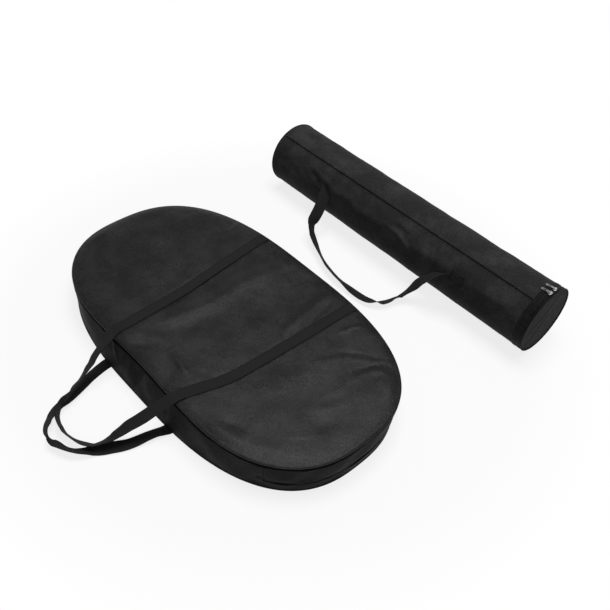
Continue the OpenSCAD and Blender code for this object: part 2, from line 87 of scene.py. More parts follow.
class TubeBagSettings(bpy.types.PropertyGroup):
    tube_length: length("Length", 0.874, "Length of the tube bag")
    tube_diameter: length("Diameter", 0.175, "Diameter of the tube bag over its rings")
    tube_middle: length("Middle", 0.037, "Place of the tube's middle along X")
    tube_y: length("Axis", 0.5645, "Place of the tube's axis along Y")
    seam_angle: number("Seam angle", 121.0, "Angle of the lap seam in degrees")
    strap_angle: number("Strap angle", 160.0, "Angle of the strap ends in degrees")
    relief: number("Relief", 1.6, "Strength of the dents in the cloth")


class WebbingSettings(bpy.types.PropertyGroup):
    width: length("Width", 0.028, "Width of the webbing")
    thickness: length("Thickness", 0.0018, "Thickness of the webbing")


class StageSettings(bpy.types.PropertyGroup):
    key_power: number("Key power", 112.0, "Power of the overhead light in watts")
    fill_power: number("Fill power", 18.0, "Power of the front light in watts")
    sky: number("Sky", 0.14, "Strength of the even light from all around")
    floor_glow: number("Floor glow", 0.8, "Share of plain white in the floor")


def settings(name):
    return getattr(bpy.context.scene, name)


def mm(value):
    return value / MM


# ---------------------------------------------------------------- meshes

def grid_faces(rows, cols, wrap_rows=False, wrap_cols=False, first=0):
    """Quads of a grid of points that is stored row by row."""
    r, c = np.meshgrid(np.arange(rows if wrap_rows else rows - 1),
                       np.arange(cols if wrap_cols else cols - 1), indexing="ij")
    r2, c2 = (r + 1) % rows, (c + 1) % cols
    quads = np.stack([r*cols + c, r*cols + c2, r2*cols + c2, r2*cols + c], -1).reshape(-1, 4) + first
    return quads.tolist()


def piece(name, points, faces, materials, uvs=None, smooth=True):
    """A mesh object from points in millimetres. uvs holds one pair for each point."""
    mesh = bpy.data.meshes.new(name)
    mesh.from_pydata((np.asarray(points, float).reshape(-1, 3)*MM).tolist(), [], faces)
    for material in materials if isinstance(materials, (list, tuple)) else [materials]:
        mesh.materials.append(material)
    mesh.polygons.foreach_set("use_smooth", [smooth]*len(mesh.polygons))
    if uvs is not None:
        layer = mesh.uv_layers.new(name="UVMap")
        corner = np.zeros(len(mesh.loops), int)
        mesh.loops.foreach_get("vertex_index", corner)
        layer.data.foreach_set("uv", np.asarray(uvs, float)[corner].astype(np.float32).ravel())
    obj = bpy.data.objects.new(name, mesh)
    bpy.context.scene.collection.objects.link(obj)
    return obj


def outward(obj, split=None):
    """Makes the faces point outward; split is the angle over which an edge stays sharp."""
    work = bmesh.new()
    work.from_mesh(obj.data)
    bmesh.ops.remove_doubles(work, verts=work.verts, dist=0.00001)
    bmesh.ops.recalc_face_normals(work, faces=work.faces)
    if split is not None:
        for e in work.edges:
            e.smooth = len(e.link_faces) == 2 and e.calc_face_angle(0) < math.radians(split)
    work.to_mesh(obj.data)
    work.free()
    return obj


def sweep(name, rows, materials, looped=False, split=40, uvs=None):
    """A solid from closed sections: one row of points for each place along the path."""
    rows = np.asarray(rows, float)
    n, m = rows.shape[:2]
    faces = grid_faces(n, m, wrap_rows=looped, wrap_cols=True)
    if not looped:
        faces += [list(range(m)), list(range((n - 1)*m, n*m))[::-1]]
    return outward(piece(name, rows, faces, materials, uvs), split)


def joined(name, objects):
    """Several meshes as one object."""
    bpy.ops.object.select_all(action="DESELECT")
    for o in objects:
        o.select_set(True)
    bpy.context.view_layer.objects.active = objects[0]
    bpy.ops.object.join()
    objects[0].name = name
    objects[0].data.name = name
    return objects[0]


def cuts(obj, normal, places):
    """Adds edge loops where planes cross the mesh; places are distances along the normal in mm."""
    work = bmesh.new()
    work.from_mesh(obj.data)
    for p in places:
        bmesh.ops.bisect_plane(work, geom=work.verts[:] + work.edges[:] + work.faces[:], dist=0.00001,
                               plane_co=Vector(normal)*(p*MM), plane_no=normal)
    work.to_mesh(obj.data)
    work.free()


def catmull(points, step):
    """Smooth path through stations of any width, resampled at about this step."""
    p = np.asarray(points, float)
    out = []
    for i in range(len(p) - 1):
        a, b, c, d = p[max(i - 1, 0)], p[i], p[i + 1], p[min(i + 2, len(p) - 1)]
        n = max(2, int(np.linalg.norm((c - b)[:3])/step))
        for k in np.arange(n)/n:
            out.append(0.5*(2*b + (c - a)*k + (2*a - 5*b + 4*c - d)*k*k + (3*b - a - 3*c + d)*k**3))
    out.append(p[-1])
    return np.array(out)


def smoothstep(v, lo, hi):
    k = np.clip((v - lo)/(hi - lo), 0, 1)
    return k*k*(3 - 2*k)


def rib(x, y, path, width, height):
    """Soft ridge (or valley, for a negative height) that follows a path and fades at its ends."""
    path = catmull([(a, b, 0) for a, b in path], 6)[:, :2]
    best = np.full(np.shape(x), 1e9)
    share = np.zeros(np.shape(x))
    for i in range(len(path) - 1):
        a, b = path[i], path[i + 1]
        d = b - a
        k = np.clip(((x - a[0])*d[0] + (y - a[1])*d[1])/max(d @ d, 1e-9), 0, 1)
        r = (x - a[0] - k*d[0])**2 + (y - a[1] - k*d[1])**2
        near = r < best
        best = np.where(near, r, best)
        share = np.where(near, (i + k)/(len(path) - 1), share)
    fade = np.sin(np.pi*np.clip(share, 0.04, 0.96))**0.6
    return height*fade*np.exp(-best/width**2)


def waves(x, y, terms):
    """Sum of slow waves: each term is (height, length along x, length along y, phase)."""
    total = 0
    for h, lx, ly, phase in terms:
        total = total + h*np.sin(2*np.pi*(x/lx + y/ly) + phase)
    return total


def ripples(x, y, seed, height, longest=210.0, count=14):
    """Gentle unevenness: waves of many lengths in all directions, the short ones lower."""
    draw = np.random.RandomState(seed)
    total = 0
    for i in range(count):
        size = longest*0.86**i
        turn, phase = draw.uniform(0, math.pi), draw.uniform(0, 2*math.pi)
        total = total + height*size/longest*np.sin(2*np.pi*(x*math.cos(turn) + y*math.sin(turn))/size + phase)
    return total


# ---------------------------------------------------------------- materials

class Nodes:
    """Short way to write a node tree."""

    def __init__(self, owner, output="ShaderNodeOutputMaterial"):
        owner.use_nodes = True
        self.tree = owner.node_tree
        self.tree.nodes.clear()
        self.out = self.add(output)

    def add(self, kind, inputs=None, **values):
        node = self.tree.nodes.new(kind)
        for key, value in values.items():
            setattr(node, key, value)
        for key, value in (inputs or {}).items():
            if isinstance(value, bpy.types.NodeSocket):
                self.tree.links.new(value, node.inputs[key])
            else:
                node.inputs[key].default_value = value
        return node

    def maths(self, how, a, b=0.5):
        return self.add("ShaderNodeMath", {0: a, 1: b}, operation=how).outputs[0]

    def mapped(self, value, lo, hi, to_lo, to_hi):
        return self.add("ShaderNodeMapRange", {"Value": value, "From Min": lo, "From Max": hi,
                                               "To Min": to_lo, "To Max": to_hi}).outputs[0]


def shade(level, blue=1.03):
    """Linear grey with a slightly cool cast."""
    return (level, level, level*blue, 1)


def cloth_material(name, level, gloss, matt=0.0, weave=0.3, wear=0.8):
    """Black coated cloth: fine crossed threads, soft crumples and lighter rubbed patches."""
    material = bpy.data.materials.new(name)
    n = Nodes(material)
    place = n.add("ShaderNodeTexCoord").outputs["Object"]
    turned = n.add("ShaderNodeMapping", {"Vector": place, "Rotation": (0, 0, math.radians(12))}).outputs[0]
    warp = n.add("ShaderNodeTexWave", {"Vector": turned, "Scale": 260, "Distortion": 1.2, "Detail": 1.5,
                                       "Detail Scale": 2.0}, bands_direction="X").outputs["Fac"]
    weft = n.add("ShaderNodeTexWave", {"Vector": turned, "Scale": 300, "Distortion": 1.2, "Detail": 1.5,
                                       "Detail Scale": 2.0}, bands_direction="Y").outputs["Fac"]
    threads = n.maths("MAXIMUM", warp, weft)
    grain = n.add("ShaderNodeTexNoise", {"Vector": place, "Scale": 420, "Detail": 2}).outputs["Fac"]
    patches = n.add("ShaderNodeTexNoise", {"Vector": place, "Scale": 13, "Detail": 6,
                                           "Roughness": 0.68}).outputs["Fac"]
    rubbed = n.mapped(patches, 0.46, 0.74, 0.0, wear)
    tone = n.maths("MULTIPLY", n.mapped(grain, 0.3, 0.7, level*0.7, level*1.3),
                   n.maths("ADD", rubbed, 1.0 - wear*0.25))
    colour = n.add("ShaderNodeCombineColor", {"Red": tone, "Green": tone,
                                              "Blue": n.maths("MULTIPLY", tone, 1.03)}).outputs[0]
    bump = n.add("ShaderNodeBump", {"Height": threads, "Strength": weave, "Distance": 0.0002}).outputs[0]
    crumple = n.add("ShaderNodeTexNoise", {"Vector": place, "Scale": 34, "Detail": 5, "Roughness": 0.6,
                                           "Distortion": 0.4}).outputs["Fac"]
    for height, depth in ((grain, 0.0008), (crumple, 0.003)):
        bump = n.add("ShaderNodeBump", {"Height": height, "Strength": 0.35, "Distance": depth,
                                        "Normal": bump}).outputs[0]
    rough = n.mapped(patches, 0.35, 0.7, 0.44 + matt, 0.54 + matt)
    shine = n.maths("MULTIPLY", n.mapped(grain, 0.3, 0.7, gloss*0.65, gloss*1.35),
                    n.mapped(patches, 0.4, 0.7, 0.9, 1.35))
    shader = n.add("ShaderNodeBsdfPrincipled", {"Base Color": colour, "Roughness": rough, "Normal": bump,
                                                "Sheen Weight": 0.01, "Sheen Roughness": 0.5,
                                                "Sheen Tint": shade(0.35), "Specular IOR Level": shine})
    n.tree.links.new(shader.outputs[0], n.out.inputs["Surface"])
    return material


def webbing_material(name, level):
    """Woven strap: ribs across it and fine columns along it, on the strap's own coordinates."""
    material = bpy.data.materials.new(name)
    n = Nodes(material)
    uv = n.add("ShaderNodeTexCoord").outputs["UV"]
    parts = n.add("ShaderNodeSeparateXYZ", {"Vector": uv})
    ribs = n.maths("SINE", n.maths("MULTIPLY", parts.outputs["Y"], 2*math.pi/1.7))
    columns = n.maths("SINE", n.maths("MULTIPLY", parts.outputs["X"], 2*math.pi/2.3))
    grain = n.add("ShaderNodeTexNoise", {"Vector": uv, "Scale": 1.3, "Detail": 3}).outputs["Fac"]
    height = n.maths("ADD", n.maths("MULTIPLY", ribs, n.mapped(columns, -1, 1, 0.5, 1.0)), grain)
    bump = n.add("ShaderNodeBump", {"Height": height, "Strength": 0.5, "Distance": 0.0004}).outputs[0]
    tone = n.mapped(n.maths("ADD", n.maths("MULTIPLY", ribs, 0.25), grain), 0.1, 0.9, level*0.82, level*1.18)
    colour = n.add("ShaderNodeCombineColor", {"Red": tone, "Green": tone, "Blue": tone}).outputs[0]
    shader = n.add("ShaderNodeBsdfPrincipled", {"Base Color": colour, "Roughness": 0.78, "Normal": bump,
                                                "Sheen Weight": 0.04, "Sheen Tint": shade(0.35),
                                                "Specular IOR Level": 0.15})
    n.tree.links.new(shader.outputs[0], n.out.inputs["Surface"])
    return material


def plain_material(name, colour, roughness, metallic=0.0, grain=0.0, scale=900.0, gloss=0.5):
    """Even finish with a fine grain."""
    material = bpy.data.materials.new(name)
    n = Nodes(material)
    inputs = {"Base Color": colour, "Roughness": roughness, "Metallic": metallic, "Specular IOR Level": gloss}
    if grain:
        place = n.add("ShaderNodeTexCoord").outputs["Object"]
        noise = n.add("ShaderNodeTexNoise", {"Vector": place, "Scale": scale, "Detail": 2}).outputs["Fac"]
        inputs["Normal"] = n.add("ShaderNodeBump", {"Height": noise, "Strength": grain,
                                                    "Distance": 0.0003}).outputs[0]
    shader = n.add("ShaderNodeBsdfPrincipled", inputs)
    n.tree.links.new(shader.outputs[0], n.out.inputs["Surface"])
    return material


LOOKS = {}


def looks():
    """The materials, made once."""
    if not LOOKS:
        # The flat bag's top, its walls and the tube are one black cloth. Their different base tones are painted
        # light and shade: the walls' and the tube's paler tones set how bright those faces render, not a
        # different cloth.
        LOOKS["cloth"] = cloth_material("oxford_cloth", 0.005, 0.31)
        LOOKS["side"] = cloth_material("oxford_cloth_side_painted_light", 0.012, 0.08, matt=0.16)
        LOOKS["tube"] = cloth_material("oxford_cloth_tube_painted_light", 0.031, 0.05, matt=0.2)
        LOOKS["lining"] = cloth_material("lining_cloth", 0.03, 0.1, matt=0.3, weave=0.2, wear=0.2)
        LOOKS["webbing"] = webbing_material("ribbed_webbing", 0.015)
        LOOKS["trim"] = plain_material("black_trim", shade(0.005), 0.7, grain=0.4, gloss=0.15)
        # Near-black seam strips, darker and duller than the trim: the binding and lap tape are black, and the
        # extra darkness is painted shade of the grooves they line.
        LOOKS["seam"] = plain_material("black_seam_and_shade", shade(0.002), 0.9, grain=0.3, gloss=0.05)
        LOOKS["thread"] = plain_material("black_thread", shade(0.004), 0.7, gloss=0.1)
        LOOKS["coil"] = plain_material("black_coil", shade(0.006), 0.35, gloss=0.4)
        LOOKS["foam"] = plain_material("grey_foam", shade(0.14, 1.0), 0.9, grain=0.6, scale=500)
        LOOKS["board"] = plain_material("fibre_board", (0.16, 0.11, 0.07, 1), 0.8, grain=0.4, scale=300)
        LOOKS["silver"] = plain_material("polished_silver", (0.93, 0.93, 0.94, 1), 0.22, metallic=1.0)
    return LOOKS


# ---------------------------------------------------------------- repeated parts (Geometry Nodes)

def repeater(name, pitch, size, material, across=0.0):
    """Node tree that sets a small rounded body at an even pitch along a line of edges.
    The line's point attribute "up" says which way is out of the cloth."""
    tree = bpy.data.node_groups.new(name, "GeometryNodeTree")
    face = tree.interface
    face.new_socket(name="Geometry", in_out="INPUT", socket_type="NodeSocketGeometry")
    wanted = {"Pitch": pitch, "Length": size[0], "Width": size[1], "Height": size[2], "Across": across}
    sockets = {k: face.new_socket(name=k, in_out="INPUT", socket_type="NodeSocketFloat") for k in wanted}
    face.new_socket(name="Geometry", in_out="OUTPUT", socket_type="NodeSocketGeometry")

    def add(kind, **values):
        node = tree.nodes.new(kind)
        for key, value in values.items():
            setattr(node, key, value)
        return node

    def link(a, b):
        tree.links.new(a, b)

    start, end = add("NodeGroupInput"), add("NodeGroupOutput")
    curve = add("GeometryNodeMeshToCurve")
    even = add("GeometryNodeResampleCurve", mode="LENGTH")
    ball = add("GeometryNodeMeshIcoSphere")
    ball.inputs["Radius"].default_value = 0.5
    ball.inputs["Subdivisions"].default_value = 2 if size[0] > 0.004 else 1
    shape = add("ShaderNodeCombineXYZ")
    scaled = add("GeometryNodeTransform")
    tangent = add("GeometryNodeInputTangent")
    up = add("GeometryNodeInputNamedAttribute", data_type="FLOAT_VECTOR")
    up.inputs["Name"].default_value = "up"
    along = add("FunctionNodeAlignRotationToVector", axis="X")
    out = add("FunctionNodeAlignRotationToVector", axis="Z", pivot_axis="X")
    vary = add("FunctionNodeRandomValue", data_type="FLOAT")
    vary.inputs[2].default_value = 0.9
    vary.inputs[3].default_value = 1.1
    vary.inputs["Seed"].default_value = 7
    turn = add("FunctionNodeAxisAngleToRotation")
    turn.inputs["Axis"].default_value = (0, 0, 1)
    rotate = add("FunctionNodeRotateRotation", rotation_space="LOCAL")
    place = add("GeometryNodeInstanceOnPoints")
    real = add("GeometryNodeRealizeInstances")
    paint = add("GeometryNodeSetMaterial")
    smooth = add("GeometryNodeSetShadeSmooth")
    paint.inputs["Material"].default_value = material
    link(start.outputs["Geometry"], curve.inputs["Mesh"])
    link(curve.outputs["Curve"], even.inputs["Curve"])
    link(start.outputs["Pitch"], even.inputs["Length"])
    link(start.outputs["Length"], shape.inputs["X"])
    link(start.outputs["Width"], shape.inputs["Y"])
    link(start.outputs["Height"], shape.inputs["Z"])
    link(ball.outputs["Mesh"], scaled.inputs["Geometry"])
    link(shape.outputs[0], scaled.inputs["Scale"])
    link(tangent.outputs[0], along.inputs["Vector"])
    link(along.outputs[0], out.inputs["Rotation"])
    link(up.outputs["Attribute"], out.inputs["Vector"])
    link(start.outputs["Across"], turn.inputs["Angle"])
    link(out.outputs[0], rotate.inputs["Rotation"])
    link(turn.outputs[0], rotate.inputs["Rotate By"])
    link(even.outputs["Curve"], place.inputs["Points"])
    link(scaled.outputs["Geometry"], place.inputs["Instance"])
    link(rotate.outputs[0], place.inputs["Rotation"])
    link(vary.outputs[1], place.inputs["Scale"])
    link(place.outputs["Instances"], real.inputs["Geometry"])
    link(real.outputs["Geometry"], smooth.inputs["Geometry"])
    link(smooth.outputs["Geometry"], paint.inputs["Geometry"])
    link(paint.outputs["Geometry"], end.inputs["Geometry"])
    return tree, {sockets[k].identifier: v for k, v in wanted.items()}


def repeated(name, lines, ups, pitch, size, material, across=0.0):
    """Small bodies along one or more lines (lists of points in mm), as a plain mesh."""
    points = np.concatenate([np.asarray(l, float) for l in lines])
    edges, first = [], 0
    for l in lines:
        edges += [(first + i, first + i + 1) for i in range(len(l) - 1)]
        first += len(l)
    mesh = bpy.data.meshes.new(name)
    mesh.from_pydata((points*MM).tolist(), edges, [])
    outs = np.concatenate([np.broadcast_to(np.asarray(u, float), np.shape(l)) for u, l in zip(ups, lines)])
    up = mesh.attributes.new("up", "FLOAT_VECTOR", "POINT")
    up.data.foreach_set("vector", outs.astype(np.float32).ravel())
    obj = bpy.data.objects.new(name, mesh)
    bpy.context.scene.collection.objects.link(obj)
    tree, values = repeater(name + "_nodes", pitch*MM, [s*MM for s in size], material, across)
    modifier = obj.modifiers.new("repeat", "NODES")
    modifier.node_group = tree
    for key, value in values.items():
        modifier[key] = value
    bpy.context.view_layer.update()
    graph = bpy.context.evaluated_depsgraph_get()
    plain = bpy.data.meshes.new_from_object(obj.evaluated_get(graph), depsgraph=graph)
    obj.modifiers.clear()
    obj.data = plain
    if not plain.materials:
        plain.materials.append(material)
    return obj


def stitches(name, lines, ups, pitch=3.6, wide=0.75):
    return repeated(name, lines, ups, pitch, (pitch*0.78, wide, 0.6), looks()["thread"])


def coil(name, line, up, side):
    """Slanted coil teeth along one side of a zip."""
    return repeated(name, [line], [up], 1.7, (1.35, 1.5, 1.3), looks()["coil"], 0.25*side)


# ---------------------------------------------------------------- outline of the flat bag

FOLD_HEIGHT = 44.0  # where the fold line's ends are found on the side cloth
LID_GAP = 0.001     # angle left open between the lid's side cloth and the fixed one's


class Outline:
    """The flat bag's outline at each height, in millimetres."""

    def __init__(self, s):
        self.length, self.width, self.seam_h = mm(s.bag_length), mm(s.bag_width), mm(s.seam_height)
        self.straight, self.power = mm(s.straight), s.roundness
        self.pull, self.shift, self.base_inset = mm(s.front_pull), mm(s.top_shift), mm(s.base_inset)
        self.crown, self.relief = mm(s.crown), s.relief
        self.zip_h = mm(s.zip_height)
        self.fold_y = mm(s.fold_in) - self.width/2
        self.end = (self.length - self.straight)/2
        self.fold_x = self.straight/2 + self.end*(1 - (-self.fold_y*2/self.width)**self.power)**(1/self.power)
        self.base_h = 6.0
        self.fold_angle = self.cut(self.fold_y, 0, FOLD_HEIGHT)

    def lean(self, z):
        return np.clip((z - self.base_h)/(self.seam_h - self.base_h), 0, 1)

    def pull_in(self, x, y, z):
        inside = np.maximum(0, 1 - (x/self.fold_x)**2)**2
        return self.pull*self.lean(z)*inside*np.maximum(0, -y*2/self.width)

    def point(self, t, d, z):
        """Point at angle t (radians), a distance d inside the cloth's outer face, at height z."""
        t, d, z = np.broadcast_arrays(np.asarray(t, float), np.asarray(d, float), np.asarray(z, float))
        inset = d + self.base_inset*(1 - self.lean(z))
        c, s = np.cos(t), np.sin(t)
        x = np.clip(c/0.03, -1, 1)*self.straight/2 + (self.end - inset)*np.sign(c)*np.abs(c)**(2/self.power)
        y = (self.width/2 - inset)*np.sign(s)*np.abs(s)**(2/self.power)
        return np.stack([x, y + self.pull_in(x, y, z) + self.shift*self.lean(z), z], -1)

    def side_y(self, x, side, d, z):
        inset = d + self.base_inset*(1 - self.lean(z))
        u = np.maximum(0, np.abs(x) - self.straight/2)/(self.end - inset)
        y = side*(self.width/2 - inset)*np.maximum(0, 1 - np.minimum(u, 1)**self.power)**(1/self.power)
        return y + self.pull_in(x, y, z) + self.shift*self.lean(z)

    def depth(self, x, y):
        """Distance in from the top seam, measured across the nearer long side and the ends."""
        across = np.minimum(y - self.side_y(x, -1, 0, self.seam_h), self.side_y(x, 1, 0, self.seam_h) - y)
        u = np.abs((y - self.shift)*2/self.width)
        bulge = np.maximum(0, 1 - np.minimum(u, 1)**self.power)**(1/self.power)
        ends = self.straight/2 + self.end*bulge - np.abs(x)
        a, b = np.maximum(across, 0), np.maximum(ends, 0)
        return a*b/np.maximum(np.sqrt(a*a + b*b), 1e-6)

    def even(self, step, lo=0.0, hi=2*math.pi, z=84.0):
        """Angles that split the outline between two angles into even lengths, ends included."""
        t = np.linspace(lo, hi, 4001)
        p = self.point(t, 0, z)
        run = np.concatenate([[0], np.cumsum(np.linalg.norm(np.diff(p, axis=0), axis=1))])
        n = max(2, int(round(run[-1]/step)))
        return np.interp(np.linspace(0, run[-1], n + 1), run, t)

    def cut(self, y, d=0.0, z=84.0):
        """Angle below the X axis at which the outline crosses this y."""
        inset = d + self.base_inset*(1 - self.lean(z))
        return float(np.arcsin(((self.shift*self.lean(z) - y)/(self.width/2 - inset))**(self.power/2)))

    def normal(self, t):
        """Outward direction of the outline, level."""
        a, b = self.point(np.asarray(t) - 0.002, 0, 40.0), self.point(np.asarray(t) + 0.002, 0, 40.0)
        d = b - a
        n = np.stack([d[..., 1], -d[..., 0], np.zeros(d.shape[:-1])], -1)
        return n/np.linalg.norm(n, axis=-1, keepdims=True)


RISE_IN = [-1.5, 0.0, 4.5, 8.0, 14.0, 22.0, 32.0, 45.0, 60.0]
RISE_UP = [0.30, 0.48, 0.58, 0.68, 0.82, 0.93, 0.98, 1.0, 1.0]

# Ridges (positive) and valleys of the padded top: path, width, height
TOP_FEATURES = [
    ([(-112, -206), (-84, -145), (-60, -62), (-54, 23), (-56, 127), (-44, 190), (-30, 240)], 29, 3.4),
    ([(-134, -100), (-146, 0), (-154, 120)], 11, 1.3),
    ([(142, 36), (122, 86), (106, 170), (98, 236)], 12, 1.7),
    ([(150, 70), (136, 130), (122, 190), (110, 236)], 8, -1.4),
    ([(30, 40), (34, 130), (44, 220)], 30, -1.0),
    ([(-244, 228), (-230, 200), (-218, 172)], 5, 1.2),
    ([(-252, 210), (-238, 185)], 6, -0.8),
    ([(-338, 126), (-336, 152), (-330, 172)], 6, 0.7),
    ([(-108, 244), (-98, 223), (-90, 204)], 4, 1.0),
    ([(-100, 246), (-88, 222)], 5, -0.8),
    ([(205, 158), (209, 191), (220, 216)], 4, 1.1),
    ([(230, 84), (249, 126), (281, 155), (308, 174), (334, 186)], 7, -0.6),
    ([(240, 72), (262, 118), (294, 146), (330, 166)], 9, 0.4),
    ([(300, 82), (305, 115), (313, 144), (328, 168), (348, 177), (372, 180)], 6, -0.8),
    ([(316, 84), (322, 122), (338, 150), (372, 162)], 10, 0.7),
    ([(347, 140), (377, 132), (404, 120)], 22, 1.2),
    ([(316, -4), (330, 32), (334, 70)], 6, -0.8),
    ([(326, -22), (344, 12), (352, 40)], 6, 0.6),
    ([(-76, -212), (-43, -192), (-10, -172)], 13, -1.6),
    ([(-84, -196), (-40, -160), (10, -140)], 18, 1.0),
    ([(12, -156), (44, -162), (86, -168)], 7, 1.9),
    ([(9, -162), (9, -150), (8, -140)], 3, 0.5),
    ([(92, -140), (126, -130), (150, -110)], 9, -0.9),
    ([(228, -178), (251, -168), (276, -160)], 14, -1.3),
    ([(346, -60), (356, -40), (350, -16)], 20, -1.3),
    ([(335, -110), (352, -92), (364, -72)], 5, 0.6),
    ([(190, -206), (240, -202), (300, -180), (360, -130)], 14, 0.9),
    ([(-330, -60), (-290, 0), (-280, 80)], 26, -1.2),
    ([(-380, -40), (-350, 40), (-330, 90)], 24, 1.0),
    ([(-230, -150), (-210, -60), (-214, 30)], 24, 0.9),
    ([(210, -90), (236, -10), (240, 60)], 26, 0.8),
    ([(60, -60), (84, 20), (84, 90)], 28, 0.7),
]


def top_relief(o, x, y):
    """Dents and ridges of the padded top, fading out at its seam."""
    total = ripples(x, y, 11, 0.16)
    for path, width, height in TOP_FEATURES:
        total = total + rib(x, y, path, width, height)
    return o.relief*total*smoothstep(o.depth(x, y), 1.0, 22.0)


def top_height(o, x, y):
    """Height of the padded top's face."""
    rise = np.interp(o.depth(x, y), RISE_IN, RISE_UP)
    return o.seam_h + o.crown*rise + top_relief(o, x, y)


# ---------------------------------------------------------------- flat bag

FOLD_CUTS = [-6, -3.5, -1, 1, 3.5, 6]  # edge loops on both sides of the fold line

# The top's lip from under the seam outward and over: distance in, height over the seam
LIP = [(3.4, 0.2), (1.2, 0.3), (-0.9, 0.7), (-1.7, 1.6), (-1.7, 2.6), (-1.0, 3.6), (0.8, 4.5), (4.5, 5.2)]
EVEN_RUN, FULL_RUN = 60, 204.0  # from the rim: rows at even steps, then rows shared out to the middle


def fold(obj, o):
    cuts(obj, (0, 1, 0), [o.fold_y + c for c in FOLD_CUTS])
    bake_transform(obj)


def padded_top(o):
    """The padded top with its fold: rounded lip, soft relief and a lined underside."""
    t = o.even(5.0)[:-1]
    rows = [o.point(t, d, o.seam_h) + [0, 0, up] for d, up in LIP]
    rim = o.point(t, 4.5, o.seam_h)
    spine = np.stack([np.clip(rim[:, 0]*0.5, -200, 200), np.zeros(len(t)), rim[:, 2]], -1)
    reach = np.linalg.norm(spine - rim, axis=1, keepdims=True)
    near = np.minimum(EVEN_RUN/reach, 1)
    for p in [*np.arange(3.5, EVEN_RUN, 3.5), *np.linspace(63, 200, 24), FULL_RUN]:
        if p < EVEN_RUN:
            share = np.minimum(p/reach, 1)
        else:
            share = near + (1 - near)*(p - EVEN_RUN)/(FULL_RUN - EVEN_RUN)
        row = rim + (spine - rim)*share
        row[:, 2] = top_height(o, row[:, 0], row[:, 1])
        rows.append(row)
    under = []
    for row, thick in [(rows[-1], 6.5), (rows[20], 6.5), (rows[12], 6.3), (rows[9], 6.0)]:
        low = row.copy()
        low[:, 2] = np.maximum(o.seam_h + 0.6, np.minimum(row[:, 2] - thick, o.seam_h + 3.2))
        under.append(low)
    top = np.array(rows)
    bottom = np.array(under)
    n = len(t)
    faces = grid_faces(len(top), n, wrap_cols=True)
    faces += grid_faces(len(bottom), n, wrap_cols=True, first=len(top)*n)
    last = (len(top) + len(bottom) - 1)*n
    faces += [[i, (i + 1) % n, last + (i + 1) % n, last + i] for i in range(n)]
    both = [looks()["cloth"], looks()["lining"]]
    obj = outward(piece("flat_bag_top", np.concatenate([top, bottom]), faces, both))
    for p in obj.data.polygons:
        if p.normal.z < -0.5:
            p.material_index = 1
    fold(obj, o)
    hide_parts("top_panel_front", "top_panel_lid", "lid_foam")
    return obj


# Creases of the near side: path of (x, z), width, height
FRONT_FEATURES = [
    ([(6, 77), (-2, 50), (-10, 22)], 8, -3.6),
    ([(24, 74), (34, 54), (46, 30)], 14, 2.4),
    ([(-34, 72), (-32, 45), (-36, 20)], 14, 1.8),
    ([(-99, 74), (-90, 58), (-77, 38)], 6, 2.6),
    ([(-114, 72), (-106, 50)], 8, -1.8),
    ([(84, 70), (100, 52), (104, 34)], 9, -1.6),
    ([(128, 72), (140, 66), (152, 64)], 3, 0.8),
    ([(44, 74), (60, 40), (70, 16)], 14, 0.8),
    ([(-70, 70), (-60, 36), (-54, 14)], 14, 0.8),
    ([(210, 70), (250, 40), (300, 20)], 18, 0.6),
]


def wall_section(z0, z1, steps, top):
    """Rows of (distance in, height) for a cloth wall; the top one turns in under the lip."""
    outer = [(-1.2*math.sin(math.pi*min(1, max(0, (z - 6)/70.0))), z) for z in np.linspace(z0, z1, steps)]
    if top:
        outer += [(-0.5, 75.2), (-1.2, 75.7), (-1.4, 76.4), (-1.0, 77.1), (0.6, 77.4), (3.4, 77.6)]
    inner = [(outer[-1][0] + 1.6, outer[-1][1] - 0.6), (2.2, z1 - 2), (2.0, z0)]
    return outer + inner, len(outer)


def wall(o, name, lo, hi, z0, z1, steps, top):
    """Side cloth between two angles and two heights, with its creases and puckers."""
    t = o.even(5.0, lo, hi)
    section, n_outer = wall_section(z0, z1, steps, top)
    d = np.array([s[0] for s in section])
    z = np.array([s[1] for s in section])
    rows = o.point(t[:, None], d[None, :], z[None, :])
    x, y, z = rows[:, :, 0], rows[:, :, 1], rows[:, :, 2]
    push = waves(x + 0.6*y, z, [(0.5, 150, 110, 0.7), (0.35, -83, 90, 2.0), (0.2, 47, -60, 3.3)])
    for path, width, height in FRONT_FEATURES:
        push = push + np.where(y < -150, rib(x, z, path, width, height), 0)
    pucker = waves(x, y, [(0.35, 11, 13, 0.2), (0.3, 23, 17, 1.2)])*np.exp(-((z - 80)/3.0)**2)
    fade = smoothstep(z, z0 + 0.5, z0 + 9)*(1 - smoothstep(z, 74, 80))
    fade[:, n_outer:] = 0
    pucker[:, n_outer:] = 0
    rows = rows + o.normal(t)[:, None, :]*(o.relief*push*fade + pucker)[:, :, None]
    return sweep(name, rows, looks()["side"])


def strip_section(d0, d1, z0, z1, edge=0.4):
    """Section of a folded cloth strip with softened corners."""
    return [(d0, z0 + edge), (d0, z1 - edge), (d0 + edge, z1), (d1, z1), (d1, z0), (d0 + edge, z0)]


def along_outline(o, name, t, section, material, looped=False):
    d = np.array([s[0] for s in section])
    z = np.array([s[1] for s in section])
    return sweep(name, o.point(np.asarray(t)[:, None], d[None, :], z[None, :]), material, looped)


